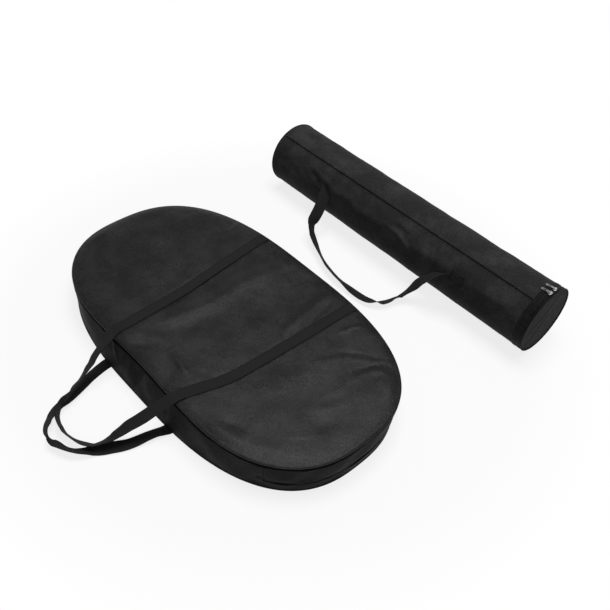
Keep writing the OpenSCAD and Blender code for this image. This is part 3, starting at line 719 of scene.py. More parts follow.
def flat_bag_shell(o):
    k = looks()
    cut, gap = o.fold_angle, LID_GAP
    front = wall(o, "flat_bag_front_wall", math.pi + cut, 2*math.pi - cut, 5.2, 74.8, 16, True)
    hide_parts("side_gusset_front")
    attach(front, "flat_bag")
    lower = wall(o, "flat_bag_lower_wall", -cut + gap, math.pi + cut - gap, 5.2, 26.2, 6, False)
    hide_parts("side_gusset_lower")
    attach(lower, "flat_bag")
    upper = wall(o, "flat_bag_upper_wall", -cut + gap*2, math.pi + cut - gap*2, 33.8, 74.8, 11, True)
    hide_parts("side_gusset_upper")
    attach(upper, "lid")
    for name, body, lo, hi in (("front", "flat_bag", math.pi + cut, 2*math.pi - cut),
                               ("lid", "lid", -cut + gap*2, math.pi + cut - gap*2)):
        # The binding strip reaches from the lip down into the groove below it; its near-black is partly the
        # binding's colour and partly painted shade of that groove.
        seam = along_outline(o, "flat_bag_%s_seam" % name, o.even(5.0, lo, hi),
                             strip_section(1.0, 3.0, 76.8, 84.6), k["seam"])
        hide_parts("top_binding_" + name)
        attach(seam, body)

    t = o.even(5.0)[:-1]
    binding = along_outline(o, "flat_bag_bottom_binding", t,
                            [(-0.8, 2.4), (-1.0, 3.6), (-0.8, 4.9), (0.2, 5.7), (2.0, 5.7), (2.0, 1.9),
                             (-0.2, 1.9)], k["trim"], looped=True)
    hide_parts("bottom_binding")
    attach(binding, "flat_bag")

    ring = o.point(t, 1.0, 0)
    floor_ring = o.point(t, 2.6, 0)
    rows = [ring*[1, 1, 0] + [0, 0, 1.8], ring*[1, 1, 0] + [0, 0, 0.7], floor_ring*[1, 1, 0]]
    bottom = sweep("flat_bag_bottom", rows, k["side"], split=30)
    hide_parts("bottom_panel")
    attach(bottom, "flat_bag")
    inner = o.point(t, 3.0, o.base_h)
    low = inner*[1, 1, 0] + [0, 0, 2.2]
    high = inner*[1, 1, 0] + [0, 0, 4.9]
    soft = o.point(t, 6.0, o.base_h)*[1, 1, 0] + [0, 0, 5.7]
    pad = sweep("flat_bag_base_pad", [low, high, soft], k["lining"], split=50)
    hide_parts("base_foam")
    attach(pad, "flat_bag")


def flat_bag_zip(o):
    k = looks()
    cut, gap, z = o.fold_angle, LID_GAP, o.zip_h
    t = o.even(5.0, -cut + gap, math.pi + cut - gap)
    tu = o.even(5.0, -cut + gap*2, math.pi + cut - gap*2)
    # The zip tapes take the walls' paler cloth instead of the black trim: painted light that keeps the shaded
    # zip slot from reading dark.
    low = along_outline(o, "flat_bag_lower_tape", t, strip_section(0.3, 1.6, z - 4.4, z - 1.5),
                        k["side"])
    high = along_outline(o, "flat_bag_upper_tape", tu, strip_section(0.3, 1.6, z + 1.5, z + 4.4),
                         k["side"])
    teeth = []
    for name, angles, side in (("flat_bag_lower_coil", t, -1), ("flat_bag_upper_coil", tu, 1)):
        teeth.append(coil(name, o.point(angles, 0.4, z + side*0.95), o.normal(angles), side))
    lower = joined("flat_bag_lower_zip", [low, teeth[0]])
    upper = joined("flat_bag_upper_zip", [high, teeth[1]])
    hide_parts("zip_tape_lower")
    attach(lower, "flat_bag")
    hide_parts("zip_tape_upper")
    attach(upper, "lid")
    tabs = []
    section = [(-1.4, z - 7), (-1.6, z), (-1.4, z + 7), (-0.9, z + 8), (-0.5, z + 8), (-0.5, z - 8),
               (-0.9, z - 8)]
    for lo, hi in ((math.pi + cut, math.pi + cut + 0.05), (2*math.pi - cut - 0.05, 2*math.pi - cut)):
        tabs.append(along_outline(o, "tab", o.even(3.0, lo, hi), section, k["trim"]))
    tab = joined("flat_bag_zip_tabs", tabs)
    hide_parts("zip_end_tabs")
    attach(tab, "flat_bag")
    seams = stitches("flat_bag_side_stitches",
                     [o.point(t, -0.5, 24.0), o.point(o.even(5.0), -1.1, 7.6)],
                     [o.normal(t), o.normal(o.even(5.0))], 4.2)
    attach(seams, "flat_bag")
    seams = stitches("flat_bag_lid_side_stitches", [o.point(tu, -0.9, 36.2)], [o.normal(tu)], 4.2)
    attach(seams, "lid")


# ---------------------------------------------------------------- webbing

def strap_frames(path):
    """Middle, side and face directions along stations of x, y, z and roll in degrees."""
    c = path[:, :3]
    tangent = np.gradient(c, axis=0)
    tangent /= np.linalg.norm(tangent, axis=1, keepdims=True)
    side = np.cross(tangent, [0, 0, 1])
    side /= np.maximum(np.linalg.norm(side, axis=1, keepdims=True), 1e-9)
    up = np.cross(side, tangent)
    roll = np.radians(path[:, 3])[:, None]
    across = np.cos(roll)*side + np.sin(roll)*up
    face = np.cross(tangent, across)
    return c, across, face/np.linalg.norm(face, axis=1, keepdims=True)


def strap(name, path, width, thick, cup=0.0, mitre=0.0):
    """Webbing along a path of x, y, z and roll, with rounded edges and its own coordinates.
    A mitre slants the first end: how far its left edge lies behind the middle."""
    c, across, face = strap_frames(path)
    w, h = width/2, thick/2
    section = [(-1, 0), (-0.985, 0.7), (-0.93, 1), (-0.5, 1), (0, 1), (0.5, 1), (0.93, 1), (0.985, 0.7),
               (1, 0), (0.985, -0.7), (0.93, -1), (0.5, -1), (0, -1), (-0.5, -1), (-0.93, -1), (-0.985, -0.7)]
    run = np.concatenate([[0], np.cumsum(np.linalg.norm(np.diff(c, axis=0), axis=1))])
    rows, uvs = [], []
    tangent = np.cross(across, face)
    for i in range(len(c)):
        back = -mitre*max(0, 1 - run[i]/max(2.2*mitre, 1))
        rows.append([c[i] + across[i]*w*a + face[i]*(h*b + cup*a*a) + tangent[i]*back*a for a, b in section])
        uvs += [(a*w, run[i]) for a, b in section]
    return sweep(name, rows, looks()["webbing"], split=50, uvs=uvs)


def edge_lines(path, width, thick, share=0.86):
    """Stitch lines near both edges of a level strap. Its face direction points down, so the
    lines are lifted through the strap to its upper side."""
    c, across, face = strap_frames(path)
    upper = c + face*(thick/2 + 0.15) + [0, 0, thick + 0.3]
    return [upper + across*width/2*s for s in (-share, share)]


LEFT_DRIFT = ([-90, -73, -10, 100], [0, 0.14, -0.21, -1.46])
RIGHT_DRIFT = ([-90, -73, -55, -37, 28, 100], [0, 0.46, 1.0, 1.32, 1.54, 1.64])


def band_x(o, side, y, width):
    drift = LEFT_DRIFT if side < 0 else RIGHT_DRIFT
    return side*115 + width*np.interp(100*y/(o.width/2), *drift)


def band_station(o, side, y, width, thick, lift=0.25):
    x = float(band_x(o, side, y, width))
    z = max(float(top_height(o, np.array(x + e), np.array(float(y)))) for e in (-10, 0, 10))
    return x, float(y), z + thick/2 + lift


UPPER_HANDLE = [
    (-104, -246, 86.0, -20), (-101, -262, 79.5, -27), (-98, -279, 68, -27), (-96, -290, 57, -26),
    (-95, -302, 47, -33), (-92, -314, 39, -46), (-88, -325, 34, -48), (-83, -340, 33, -48),
    (-77, -352, 32, -55), (-72, -368, 29, -66), (-67, -382, 28, -80), (-60, -391, 27, -90),
    (-53, -399, 26, -96), (-44, -406, 24, -102), (-32, -411, 21, -107), (-20, -413, 18.5, -111),
    (-10, -414, 16.5, -111), (0, -414, 15, -115), (20, -409, 14, -120), (37, -402, 13.2, -131),
    (46, -397, 12.8, -136), (54, -391, 12.2, -136), (60, -384, 12, -135), (64, -374, 12.5, -138),
    (70, -362, 18, -147), (74, -352, 22, -155), (76, -343, 26, -163), (80, -329, 33, -173),
    (84, -315, 41, -185), (90, -301, 49, -191), (95, -289, 56, -193), (99, -275, 63, -192),
    (104, -257, 73, -192), (110, -243, 81, -191)]

LOWER_HANDLE = [
    (-117, -236, 1.3, 0), (-117, -246, 1.6, 1), (-115, -257, 2.2, -2), (-112, -270, 3.2, -4),
    (-104, -299, 4.0, -8), (-97, -316, 4.6, -12), (-86, -346, 5.2, -15), (-79, -368, 5.8, -18),
    (-74, -389, 7.4, -24), (-66, -404, 8.2, -26), (-57, -416, 11, -39), (-49, -426, 12.5, -44),
    (-38, -435, 12.8, -50), (-28, -440, 14.4, -68), (-18, -443, 15.3, -86), (-3, -444, 13, -131),
    (6, -441, 10, -145), (21, -436, 11, -137), (34, -430, 12, -135), (45, -422, 11.5, -139),
    (53, -413, 10, -147), (59, -403, 7.6, -156), (63, -394, 5.0, -170), (69, -382, 3.2, -182),
    (76, -371, 3.6, -186), (83, -357, 3.6, -186), (90, -344, 3.6, -184), (97, -328, 3.4, -177),
    (102, -310, 4.2, -174), (106, -291, 5.6, -168), (111, -272, 6.4, -164), (115, -258, 4.6, -168),
    (117, -246, 2.2, -177), (117, -236, 1.3, -180)]


def flat_bag_webbing(o, width, thick):
    for side, name in ((-1, "left"), (1, "right")):
        ys = list(np.linspace(o.width/2 - 6, 214, 5)) + list(np.arange(204, -204, -12.0)) + [-207]
        far = float(o.side_y(np.array(band_x(o, side, 240, width)), 1, 0, o.seam_h))
        ys = [min(y, far - 3 - 0.4*i) for i, y in enumerate(ys)]
        stations = sorted([band_station(o, side, y, width, thick) + (0,) for y in ys], key=lambda s: -s[1])
        path = catmull(stations, 4.0)
        band = strap("flat_bag_%s_band" % name, path, width, thick)
        seams = stitches("flat_bag_%s_band_stitches" % name, edge_lines(path, width, thick),
                         [(0, 0, 1)]*2, 3.6)
        fold(seams, o)
        fold(band, o)
        if side < 0:
            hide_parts("upper_strap_lid_bands")

    raise_by = 1.7
    ends = []
    for side, roll, ys in ((-1, 0, (-203, -211, -218)), (1, -180, (-218, -211, -203))):
        sewn = [band_station(o, side, y, width, thick, 0.35) for y in ys]
        ends.append([(x, y, z + raise_by*(1 - smoothstep(-y, 203, 216)), roll) for x, y, z in sewn])
    path = ends[0] + [(-113.5, -226, 91.6, -3), (-109, -235, 89.4, -12)] + UPPER_HANDLE
    path += [(113.5, -234, 87.2, -187), (115.5, -226, 91.2, -182)] + ends[1]
    path = catmull(path, 3.0)
    upper = strap("upper_handle_webbing", path, width, thick, cup=0.3)
    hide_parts("upper_handle", "upper_strap_front_bands")
    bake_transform(upper)

    path = catmull(LOWER_HANDLE, 3.0)
    lower = strap("lower_handle_webbing", path, width, thick, cup=0.3)
    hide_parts("lower_handle")
    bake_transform(lower)

    bands = []
    for side in (-1, 1):
        stations = [(side*117.3, y, 0.9, 0) for y in np.linspace(215, -233, 40)]
        bands.append(strap("bottom_band", np.array(stations), width, thick))
    band = joined("flat_bag_bottom_bands", bands)
    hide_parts("lower_strap_bands")
    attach(band, "flat_bag")


# ---------------------------------------------------------------- tube bag

class Tube:
    """The tube bag's cylinder, in millimetres."""

    def __init__(self, s):
        self.r, self.y, self.z = mm(s.tube_diameter)/2, mm(s.tube_y), mm(s.tube_diameter)/2
        self.skin = self.r - 1
        self.start = mm(s.tube_middle) - mm(s.tube_length)/2
        self.mouth = mm(s.tube_middle) + mm(s.tube_length)/2
        self.welt = 3.5
        self.cap_back = self.mouth - self.welt
        self.zip_x = self.cap_back - 5
        self.sleeve_end = self.zip_x - 10
        self.seam, self.strap_angle, self.relief = s.seam_angle, s.strap_angle, s.relief

    def point(self, x, angle, r):
        angle = np.radians(np.asarray(angle, float))
        x, angle, r = np.broadcast_arrays(np.asarray(x, float), angle, np.asarray(r, float))
        return np.stack([x, self.y + r*np.cos(angle), self.z + r*np.sin(angle)], -1)

    def out(self, angle):
        a = np.radians(np.asarray(angle, float))
        return np.stack([np.zeros(a.shape), np.cos(a), np.sin(a)], -1)


# Dents and ridges of the tube: path of (x, angle), width in mm, height
TUBE_FEATURES = [
    ([(-396, 150), (-378, 138), (-368, 128)], 9, 1.6),
    ([(-372, 152), (-358, 142), (-350, 130)], 8, -1.8),
    ([(-352, 148), (-345, 138), (-338, 128)], 9, 1.6),
    ([(-384, 166), (-360, 160), (-338, 156)], 10, -2.2),
    ([(-334, 151), (-315, 154), (-296, 154)], 4, 1.6),
    ([(-298, 156), (-282, 162), (-268, 170), (-262, 178)], 5, 1.8),
    ([(-318, 164), (-296, 170), (-282, 178)], 7, -1.5),
    ([(-252, 150), (-232, 153), (-214, 157), (-202, 163)], 9, -4.2),
    ([(-262, 140), (-240, 143), (-215, 146), (-190, 148), (-168, 154)], 7, 2.6),
    ([(-188, 158), (-172, 168), (-158, 178)], 9, -3.0),
    ([(-168, 156), (-145, 154), (-122, 152), (-95, 153), (-80, 160), (-62, 165), (-40, 160)], 11, 2.6),
    ([(-104, 128), (-92, 138), (-84, 150)], 12, 1.4),
    ([(-92, 122), (-76, 132), (-70, 146)], 8, -1.2),
    ([(-75, 157), (-44, 158), (-31, 158), (7, 157), (37, 154)], 12, 2.2),
    ([(30, 152), (52, 153), (73, 154), (90, 158), (112, 165), (122, 171)], 5.5, 3.0),
    ([(46, 143), (78, 144), (104, 152)], 7, -1.6),
    ([(54, 134), (72, 138), (92, 142)], 6, 1.0),
    ([(-14, 128), (2, 136), (14, 148)], 10, 1.0),
    ([(112, 158), (160, 157), (210, 154), (236, 154)], 13, 2.4),
    ([(286, 155), (330, 156), (380, 154), (430, 152)], 14, 2.0),
    ([(240, 139), (270, 142), (310, 140)], 11, 1.0),
    ([(330, 166), (370, 170), (420, 168)], 16, -1.2),
    ([(-260, 92), (-180, 96), (-90, 92)], 30, -0.8),
    ([(60, 90), (160, 98), (260, 92)], 30, -0.8),
]


def tube_relief(q, x, angle):
    """Dents of the sleeve; the cloth keeps its round shape at the seam and at the ends."""
    arc = np.radians(angle)*q.skin
    total = ripples(x, arc, 23, 0.18, 160.0)
    for path, width, height in TUBE_FEATURES:
        total = total + rib(x, arc, [(a, math.radians(b)*q.skin) for a, b in path], width, height)
    ends = smoothstep(x, q.start + 6, q.start + 30)*(1 - smoothstep(x, q.sleeve_end - 26, q.sleeve_end - 4))
    low = smoothstep(np.sin(np.radians(angle)), -0.93, -0.6)
    seam = 1 - 0.75*np.exp(-((angle - q.seam)/7.0)**2)
    return q.relief*(total - 0.3)*ends*low*seam


def tube_sleeve(q):
    k = looks()
    x = np.concatenate([[q.start + q.welt, q.start + q.welt + 2],
                        np.linspace(q.start + q.welt + 5, q.sleeve_end - 2, 205), [q.sleeve_end]])
    fine = q.seam + np.array([-4.6, -4.0, -2.0, 0.0, 2.0, 4.0, 4.6])
    coarse = np.arange(q.seam + 6, q.seam + 355, 2.2)
    angle = np.concatenate([fine, coarse])
    X, A = np.meshgrid(x, angle, indexing="ij")
    r = q.skin + tube_relief(q, X, A)
    off = A - q.seam
    inside = (X > q.start + q.welt + 3) & (X < q.sleeve_end - 5)
    lap = 0.25*(smoothstep(off, -4.6, -4.0) - smoothstep(off, 4.0, 4.6))
    r = r + np.where(inside & (np.abs(off) < 5), lap, 0)
    outer = q.point(X, A, r)
    inner = q.point(X, A, np.full(X.shape, q.skin - 5.4))
    n, m = outer.shape[:2]
    points = np.concatenate([outer.reshape(-1, 3), inner.reshape(-1, 3)])
    faces = grid_faces(n, m, wrap_cols=True) + grid_faces(n, m, wrap_cols=True, first=n*m)
    for row in (0, n - 1):
        a = row*m
        faces += [[a + i, a + (i + 1) % m, n*m + a + (i + 1) % m, n*m + a + i] for i in range(m)]
    obj = outward(piece("tube_sleeve_cloth", points, faces, [k["tube"], k["lining"]]), 60)
    middle = Vector((0, q.y*MM, q.z*MM))
    for p in obj.data.polygons:
        away = p.center - middle
        away.x = 0
        if away.length < (q.skin - 4.5)*MM:
            p.material_index = 1
    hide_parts("tube_sleeve", "lap_seam_tape", "tube_foam_liner")
    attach(obj, "tube_bag")
    seam_x = np.linspace(q.start + 8, q.sleeve_end - 6, 160)
    level = q.skin + tube_relief(q, seam_x, q.seam)
    rows = [q.point(seam_x, q.seam + math.degrees(w/q.skin), level + h)
            for w, h in ((-1.7, -0.6), (-1.5, 0.45), (1.5, 0.45), (1.7, -0.6))]
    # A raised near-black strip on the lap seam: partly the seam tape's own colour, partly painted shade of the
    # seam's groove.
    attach(sweep("tube_lap_seam_and_shade", np.stack(rows, 1), k["seam"]), "tube_bag")
    lines, ups = [], []
    for away in (-2.6, 2.6):
        angles = np.full(seam_x.shape, q.seam + away)
        radius = q.skin + tube_relief(q, seam_x, angles) + 0.6
        lines.append(q.point(seam_x, angles, radius))
        ups.append(q.out(angles))
    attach(stitches("tube_lap_stitches", lines, ups, 3.6), "tube_bag")


def ring_piece(q, name, section, material, lo=0.0, hi=360.0, step=2.0):
    """Turned ring from (x, radius) pairs, all the way round or between two angles."""
    n = max(2, int(round((hi - lo)/step)))
    whole = hi - lo >= 360
    angles = np.linspace(lo, hi, n + 1)[:n if whole else n + 1]
    x = np.array([s[0] for s in section])
    r = np.array([s[1] for s in section])
    rows = q.point(x[None, :], angles[:, None], r[None, :])
    return sweep(name, rows, material, looped=whole)


def disc_piece(q, name, x0, x1, r, material, dome=0.0, ridge=False):
    """Cloth disc with a slight dome on its outer face (the x1 side)."""
    angles = np.arange(0, 360, 3.0)
    radii = np.concatenate([[0.2], np.linspace(4, r - 1.2, 26), [r - 0.5, r]])
    rows = []
    for ring in radii:
        p = q.point(0, angles, np.full(angles.shape, ring))
        share = ring/r
        out = dome*(1 - share**2)
        x = np.full(angles.shape, x1 + out)
        if ridge:
            u, v = p[:, 1] - q.y, p[:, 2] - q.z
            x = x + waves(u, v, [(0.25, 90, 70, 0.5), (0.2, -60, 85, 1.9)])*(1 - share**4)
            for path, width, height in ((CAP_RIDGE, 4.5, 1.3), (CAP_HOLLOW, 10, -0.7)):
                x = x + rib(u, v, path, width, height)*(1 - share**8)
        x = x - (0.6 if ring == r else 0.15 if ring == r - 0.5 else 0)*np.sign(x1 - x0)
        p[:, 0] = x
        rows.append(p)
    back = q.point(x0, angles, np.full(angles.shape, r))
    mid = q.point(x0, angles, np.full(angles.shape, 0.2))
    return sweep(name, rows + [back, mid], material, split=45)


CAP_RIDGE = [(-66, -34), (-48, -14), (-30, 4), (-2, 26), (14, 40), (36, 56)]
CAP_HOLLOW = [(-50, -34), (-20, -8), (20, 24), (46, 40)]


def welt_ring(q, name, x):
    r = q.welt/2
    section = [(x + r*math.cos(a), q.r - r + r*math.sin(a)) for a in np.linspace(0, 2*math.pi, 15)[:-1]]
    return ring_piece(q, name, section, looks()["trim"])


def tube_ends(q):
    k = looks()
    disc = disc_piece(q, "tube_closed_disc", q.start + q.welt, q.start + q.welt - 2, q.r - q.welt - 0.1,
                      k["side"], dome=-0.8)
    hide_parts("closed_end_disc")
    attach(disc, "tube_bag")
    welt = welt_ring(q, "tube_closed_piping", q.start + q.welt/2)
    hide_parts("closed_end_welt")
    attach(welt, "tube_bag")
    board = disc_piece(q, "tube_closed_board", q.start + q.welt, q.start + q.welt + 4, q.skin - 6.5,
                       k["lining"])
    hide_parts("closed_end_board")
    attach(board, "tube_bag")

    s, end = q.skin, q.sleeve_end
    hem = ring_piece(q, "tube_mouth_hem",
                     [(end - 9.6, s + 0.1), (end - 9, s + 0.5), (end - 6.4, s + 0.75), (end - 5.6, s + 0.1),
                      (end - 5.2, s + 0.1), (end - 4.4, s + 0.7), (end - 0.6, s + 0.7), (end, s + 0.1)],
                     k["side"])
    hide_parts("mouth_hem")
    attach(hem, "tube_bag")
    half = 38.3
    lo, hi = 180 + half, 540 - half
    tape = ring_piece(q, "tube_mouth_tape",
                      [(end, s - 1.8), (end, s - 0.5), (q.zip_x - 4.2, s - 0.2), (q.zip_x - 3.6, s - 0.7),
                       (q.zip_x - 1.4, s - 0.7), (q.zip_x - 1.4, s - 1.8)], k["trim"], lo, hi)
    cap_tape = ring_piece(q, "tube_cap_tape",
                          [(q.zip_x + 1.4, s - 1.8), (q.zip_x + 1.4, s - 0.7), (q.zip_x + 3.2, s - 0.4),
                           (q.cap_back, s - 0.1), (q.cap_back, s - 1.8)], k["trim"], lo, hi)
    angles = np.arange(lo, hi, 1.5)
    teeth = [coil("coil", q.point(q.zip_x + side*0.9, angles, s - 0.3), q.out(angles), side)
             for side in (-1, 1)]
    mouth = joined("tube_mouth_zip", [tape, teeth[0]])
    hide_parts("mouth_zip_tape")
    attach(mouth, "tube_bag")
    cap_zip = joined("tube_cap_zip", [cap_tape, teeth[1]])
    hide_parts("cap_zip_tape")
    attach(cap_zip, "cap")

    hinge = ring_piece(q, "tube_cap_hinge",
                       [(end, s - 1.8), (end, s - 0.1), (end + 4, s), (end + 8, s), (q.zip_x, s),
                        (q.zip_x + 2, s), (q.cap_back - 1.6, s), (q.cap_back + 0.2, s - 0.2),
                        (q.cap_back + 0.2, s - 1.8), (q.zip_x, s - 1.8)],
                       k["side"], 180 - 38, 180 + 38)
    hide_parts("cap_hinge_patch")
    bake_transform(hinge)
    tabs = []
    for a in (180 - 38, 180 + 30):
        tabs.append(ring_piece(q, "tab", [(q.zip_x - 4, s + 0.2), (q.zip_x - 3.4, s + 0.9),
                                          (q.cap_back - 2, s + 0.9), (q.cap_back - 1, s + 0.2)],
                               k["trim"], a, a + 8))
    tab = joined("tube_zip_tabs", tabs)
    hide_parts("tube_zip_end_tabs")
    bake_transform(tab)

    cap = disc_piece(q, "tube_cap_disc", q.cap_back, q.cap_back + 1.6, q.r - q.welt - 0.1, k["tube"],
                     dome=0.5, ridge=True)
    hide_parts("cap_disc")
    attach(cap, "cap")
    welt = welt_ring(q, "tube_cap_piping", q.mouth - q.welt/2 + 0.15)
    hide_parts("cap_welt")
    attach(welt, "cap")
    board = disc_piece(q, "tube_cap_board", q.cap_back, q.cap_back - 4, q.skin - 6.5, k["lining"])
    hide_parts("cap_board")
    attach(board, "cap")


CARRY_STRAP = [
    (-176, 476, 118.5, 24), (-169, 459, 103, 24), (-162, 440, 84, 26), (-159, 426, 70, 32), (-156, 412, 57, 54),
    (-151, 406, 48, 55), (-144, 401, 40, 52), (-135, 397, 32, 43), (-114, 389, 22, 46), (-93, 381, 14.5, 54),
    (-73, 372, 14.6, 56), (-52, 364, 14.2, 53), (-30, 357, 13.5, 47), (-8, 352, 13.4, 46), (10, 349, 13, 44),
    (26, 348, 12.2, 41), (44, 348.5, 10, 32), (65, 349, 7.6, 22), (88, 350, 7.2, 18), (106, 351.5, 8.4, 18),
    (125, 357, 10.6, 24), (147, 371, 14.4, 60), (155, 386, 15.6, 68), (159, 406, 15.4, 64), (161, 420, 14, 40),
    (166, 432, 23, 29), (175, 444, 41, 7), (185, 454, 60, -16), (198, 460, 80, -16), (214, 465, 98, -8),
    (228, 470.5, 110, 20), (240, 477, 117, 36), (249, 480, 118.5, 55)]


def strap_patch(q, name, x0, x1, angle, width, thick, slant=0.0):
    """Strap end sewn on the tube: follows the cylinder; its +X end can be slanted."""
    half = math.degrees(math.asin(width/2/q.skin))
    around = np.concatenate([[-half, -half*0.97], np.linspace(-half*0.9, half*0.9, 11), [half*0.97, half]])
    edge = np.array([0.35, 0.9] + [1.0]*11 + [0.9, 0.35])
    x = np.linspace(0, 1, 18)
    X, A = np.meshgrid(x, around, indexing="ij")
    end = x1 + slant*(A/half)
    px = x0 + (end - x0)*X
    base = q.skin + tube_relief(q, px, A + angle)
    lift = np.sin(np.pi*np.clip(X, 0.02, 0.98))**0.2
    outer = q.point(px, A + angle, base + 0.6 + thick*edge[None, :]*lift)
    inner = q.point(px, A + angle, base - 0.4)
    n, m = outer.shape[:2]
    points = np.concatenate([outer.reshape(-1, 3), inner.reshape(-1, 3)])
    uvs = np.stack([A/half*width/2, px - x0], -1).reshape(-1, 2)
    faces = grid_faces(n, m) + grid_faces(n, m, first=n*m)
    rim = list(range(m)) + [r*m + m - 1 for r in range(1, n)]
    rim += [(n - 1)*m + i for i in range(m - 2, -1, -1)] + [r*m for r in range(n - 2, 0, -1)]
    faces += [[a, b, n*m + b, n*m + a] for a, b in zip(rim, rim[1:] + rim[:1])]
    obj = outward(piece(name, points, faces, looks()["webbing"], np.concatenate([uvs, uvs])), 50)

    def at(u, v):
        """Point on the patch's face, from -1 to 1 along and across it."""
        a = angle + np.asarray(v)*half*0.8
        xx = x0 + (x1 - x0)*(0.5 + 0.42*np.asarray(u))
        return q.point(xx, a, q.skin + tube_relief(q, xx, a) + 0.6 + thick + 0.1), q.out(a)

    lines, ups = [], []
    corners_of_box = [(-1, -1), (1, -1), (1, 1), (-1, 1)]
    for i, j in ((0, 1), (1, 2), (2, 3), (3, 0), (0, 2), (3, 1)):
        u, v = np.linspace(corners_of_box[i], corners_of_box[j], 12).T
        p, up = at(u, v)
        lines.append(p)
        ups.append(up)
    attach(stitches(name + "_stitches", lines, ups, 2.6, 1.6), "tube_bag")
    return obj


def tube_strap(q, width, thick):
    left = strap_patch(q, "tube_strap_left_end", -228, -178, q.strap_angle, width, thick, slant=14)
    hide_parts("strap_end_left", "strap_backing_patches")
    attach(left, "tube_bag")
    right = strap_patch(q, "tube_strap_right_end", 247, 287, q.strap_angle, width, thick)
    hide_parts("strap_end_right")
    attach(right, "tube_bag")
    path = catmull(CARRY_STRAP, 3.0)
    carry = strap("carry_strap_webbing", path, width*1.08, thick, cup=0.4, mitre=15.3)
    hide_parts("carry_strap")
    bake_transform(carry)


# ---------------------------------------------------------------- metal

def metal_parts():
    k = looks()
    for name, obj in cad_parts.items():
        if "slider" in name or "pull" in name:
            obj.data.materials.clear()
            obj.data.materials.append(k["silver"])


# ---------------------------------------------------------------- stage

CAMERA_PLACE = (0.9193, -0.6931, 1.2753)
CAMERA_HEADING = (-0.6976, 0.7165)  # level direction of the view
CAMERA_TILT = 44.82                 # degrees below level
CAMERA_ROLL = 0.085                 # radians
CAMERA_LENS = 43.11                 # on a sensor of 36 mm
FLOOR_REACH = 9000


def stage(s):
    """White floor, a broad overhead light, a weak front light, an even sky and the camera."""
    scene = bpy.context.scene

    def seen_rays(n):
        """1 for rays that show the background: from the camera, off metal and through glass."""
        path = n.add("ShaderNodeLightPath")
        glossy = n.maths("MAXIMUM", path.outputs["Is Glossy Ray"], path.outputs["Is Transmission Ray"])
        return n.maths("MAXIMUM", path.outputs["Is Camera Ray"], glossy)

    floor_look = bpy.data.materials.new("white_floor")
    n = Nodes(floor_look)
    away = n.add("ShaderNodeVectorMath", {0: n.add("ShaderNodeTexCoord").outputs["Object"], 1: (0, 0.15, 0)},
                 operation="DISTANCE")
    white = n.maths("MULTIPLY", n.mapped(away.outputs["Value"], 0.6, 0.8, s.floor_glow, 1.0), seen_rays(n))
    paleness = n.mapped(n.add("ShaderNodeLightPath").outputs["Is Camera Ray"], 0.0, 1.0, 0.3, 0.97)
    pale = n.add("ShaderNodeCombineColor", {"Red": paleness, "Green": paleness, "Blue": paleness}).outputs[0]
    diffuse = n.add("ShaderNodeBsdfDiffuse", {"Color": pale})
    glow = n.add("ShaderNodeEmission", {"Color": (1, 1, 1, 1), "Strength": 1.0})
    both = n.add("ShaderNodeMixShader", {0: white, 1: diffuse.outputs[0], 2: glow.outputs[0]})
    n.tree.links.new(both.outputs[0], n.out.inputs["Surface"])
    points = [(a*FLOOR_REACH, b*FLOOR_REACH, 0) for a, b in ((-1, -1), (1, -1), (1, 1), (-1, 1))]
    floor = piece("floor", points, [[0, 1, 2, 3]], floor_look)

    for name, place, size, power in (("overhead", (-0.15, 0.75, 4.0), 2.0, s.key_power),
                                     ("front", (2.2, -1.8, 2.1), 1.2, s.fill_power)):
        data = bpy.data.lights.new(name, "AREA")
        data.size, data.energy = size, power
        light = bpy.data.objects.new(name, data)
        scene.collection.objects.link(light)
        light.location = place
        light.rotation_euler = (Vector((0.0, 0.15, 0.0)) - light.location).to_track_quat("-Z", "Y").to_euler()

    world = bpy.data.worlds.new("white_world")
    scene.world = world
    n = Nodes(world, "ShaderNodeOutputWorld")
    lit = n.add("ShaderNodeBackground", {"Color": (1, 1, 1, 1), "Strength": s.sky})
    seen = n.add("ShaderNodeBackground", {"Color": (1, 1, 1, 1), "Strength": 1.0})
    ray = n.add("ShaderNodeSeparateXYZ", {"Vector": n.add("ShaderNodeTexCoord").outputs["Generated"]})
    low = n.mapped(ray.outputs["Z"], 0.2, 0.4, 1.0, 0.0)
    both = n.add("ShaderNodeMixShader", {0: n.maths("MULTIPLY", seen_rays(n), low), 1: lit.outputs[0],
                                         2: seen.outputs[0]})
    n.tree.links.new(both.outputs[0], n.out.inputs["Surface"])

    data = bpy.data.cameras.new("camera")
    camera = bpy.data.objects.new("camera", data)
    scene.collection.objects.link(camera)
    data.sensor_width = 36
    data.lens = CAMERA_LENS
    tilt, roll = math.radians(CAMERA_TILT), CAMERA_ROLL
    level_x, level_y = CAMERA_HEADING
    forward = Vector((level_x*math.cos(tilt), level_y*math.cos(tilt), -math.sin(tilt)))
    right = forward.cross(Vector((0, 0, 1))).normalized()
    up = right.cross(forward)
    rolled_right = math.cos(roll)*right + math.sin(roll)*up
    rolled_up = -math.sin(roll)*right + math.cos(roll)*up
    turned = Matrix((rolled_right, rolled_up, -forward)).transposed().to_4x4()
    camera.matrix_world = Matrix.Translation(CAMERA_PLACE) @ turned
    scene.camera = camera
    scene.view_settings.view_transform = "Standard"


# ---------------------------------------------------------------- operators and panel

class BAGS_OT_flat_bag(bpy.types.Operator):
    """Build the flat bag's padded top, walls, bindings and underside"""
    bl_idname = "bags.flat_bag"
    bl_label = "Flat bag cloth"

    def execute(self, context):
        o = Outline(settings("bags_flat"))
        padded_top(o)
        flat_bag_shell(o)
        return {"FINISHED"}


class BAGS_OT_flat_bag_zip(bpy.types.Operator):
    """Build the flat bag's zip tapes, coils, end tabs and side stitches"""
    bl_idname = "bags.flat_bag_zip"
    bl_label = "Flat bag zip"

    def execute(self, context):
        flat_bag_zip(Outline(settings("bags_flat")))
        return {"FINISHED"}


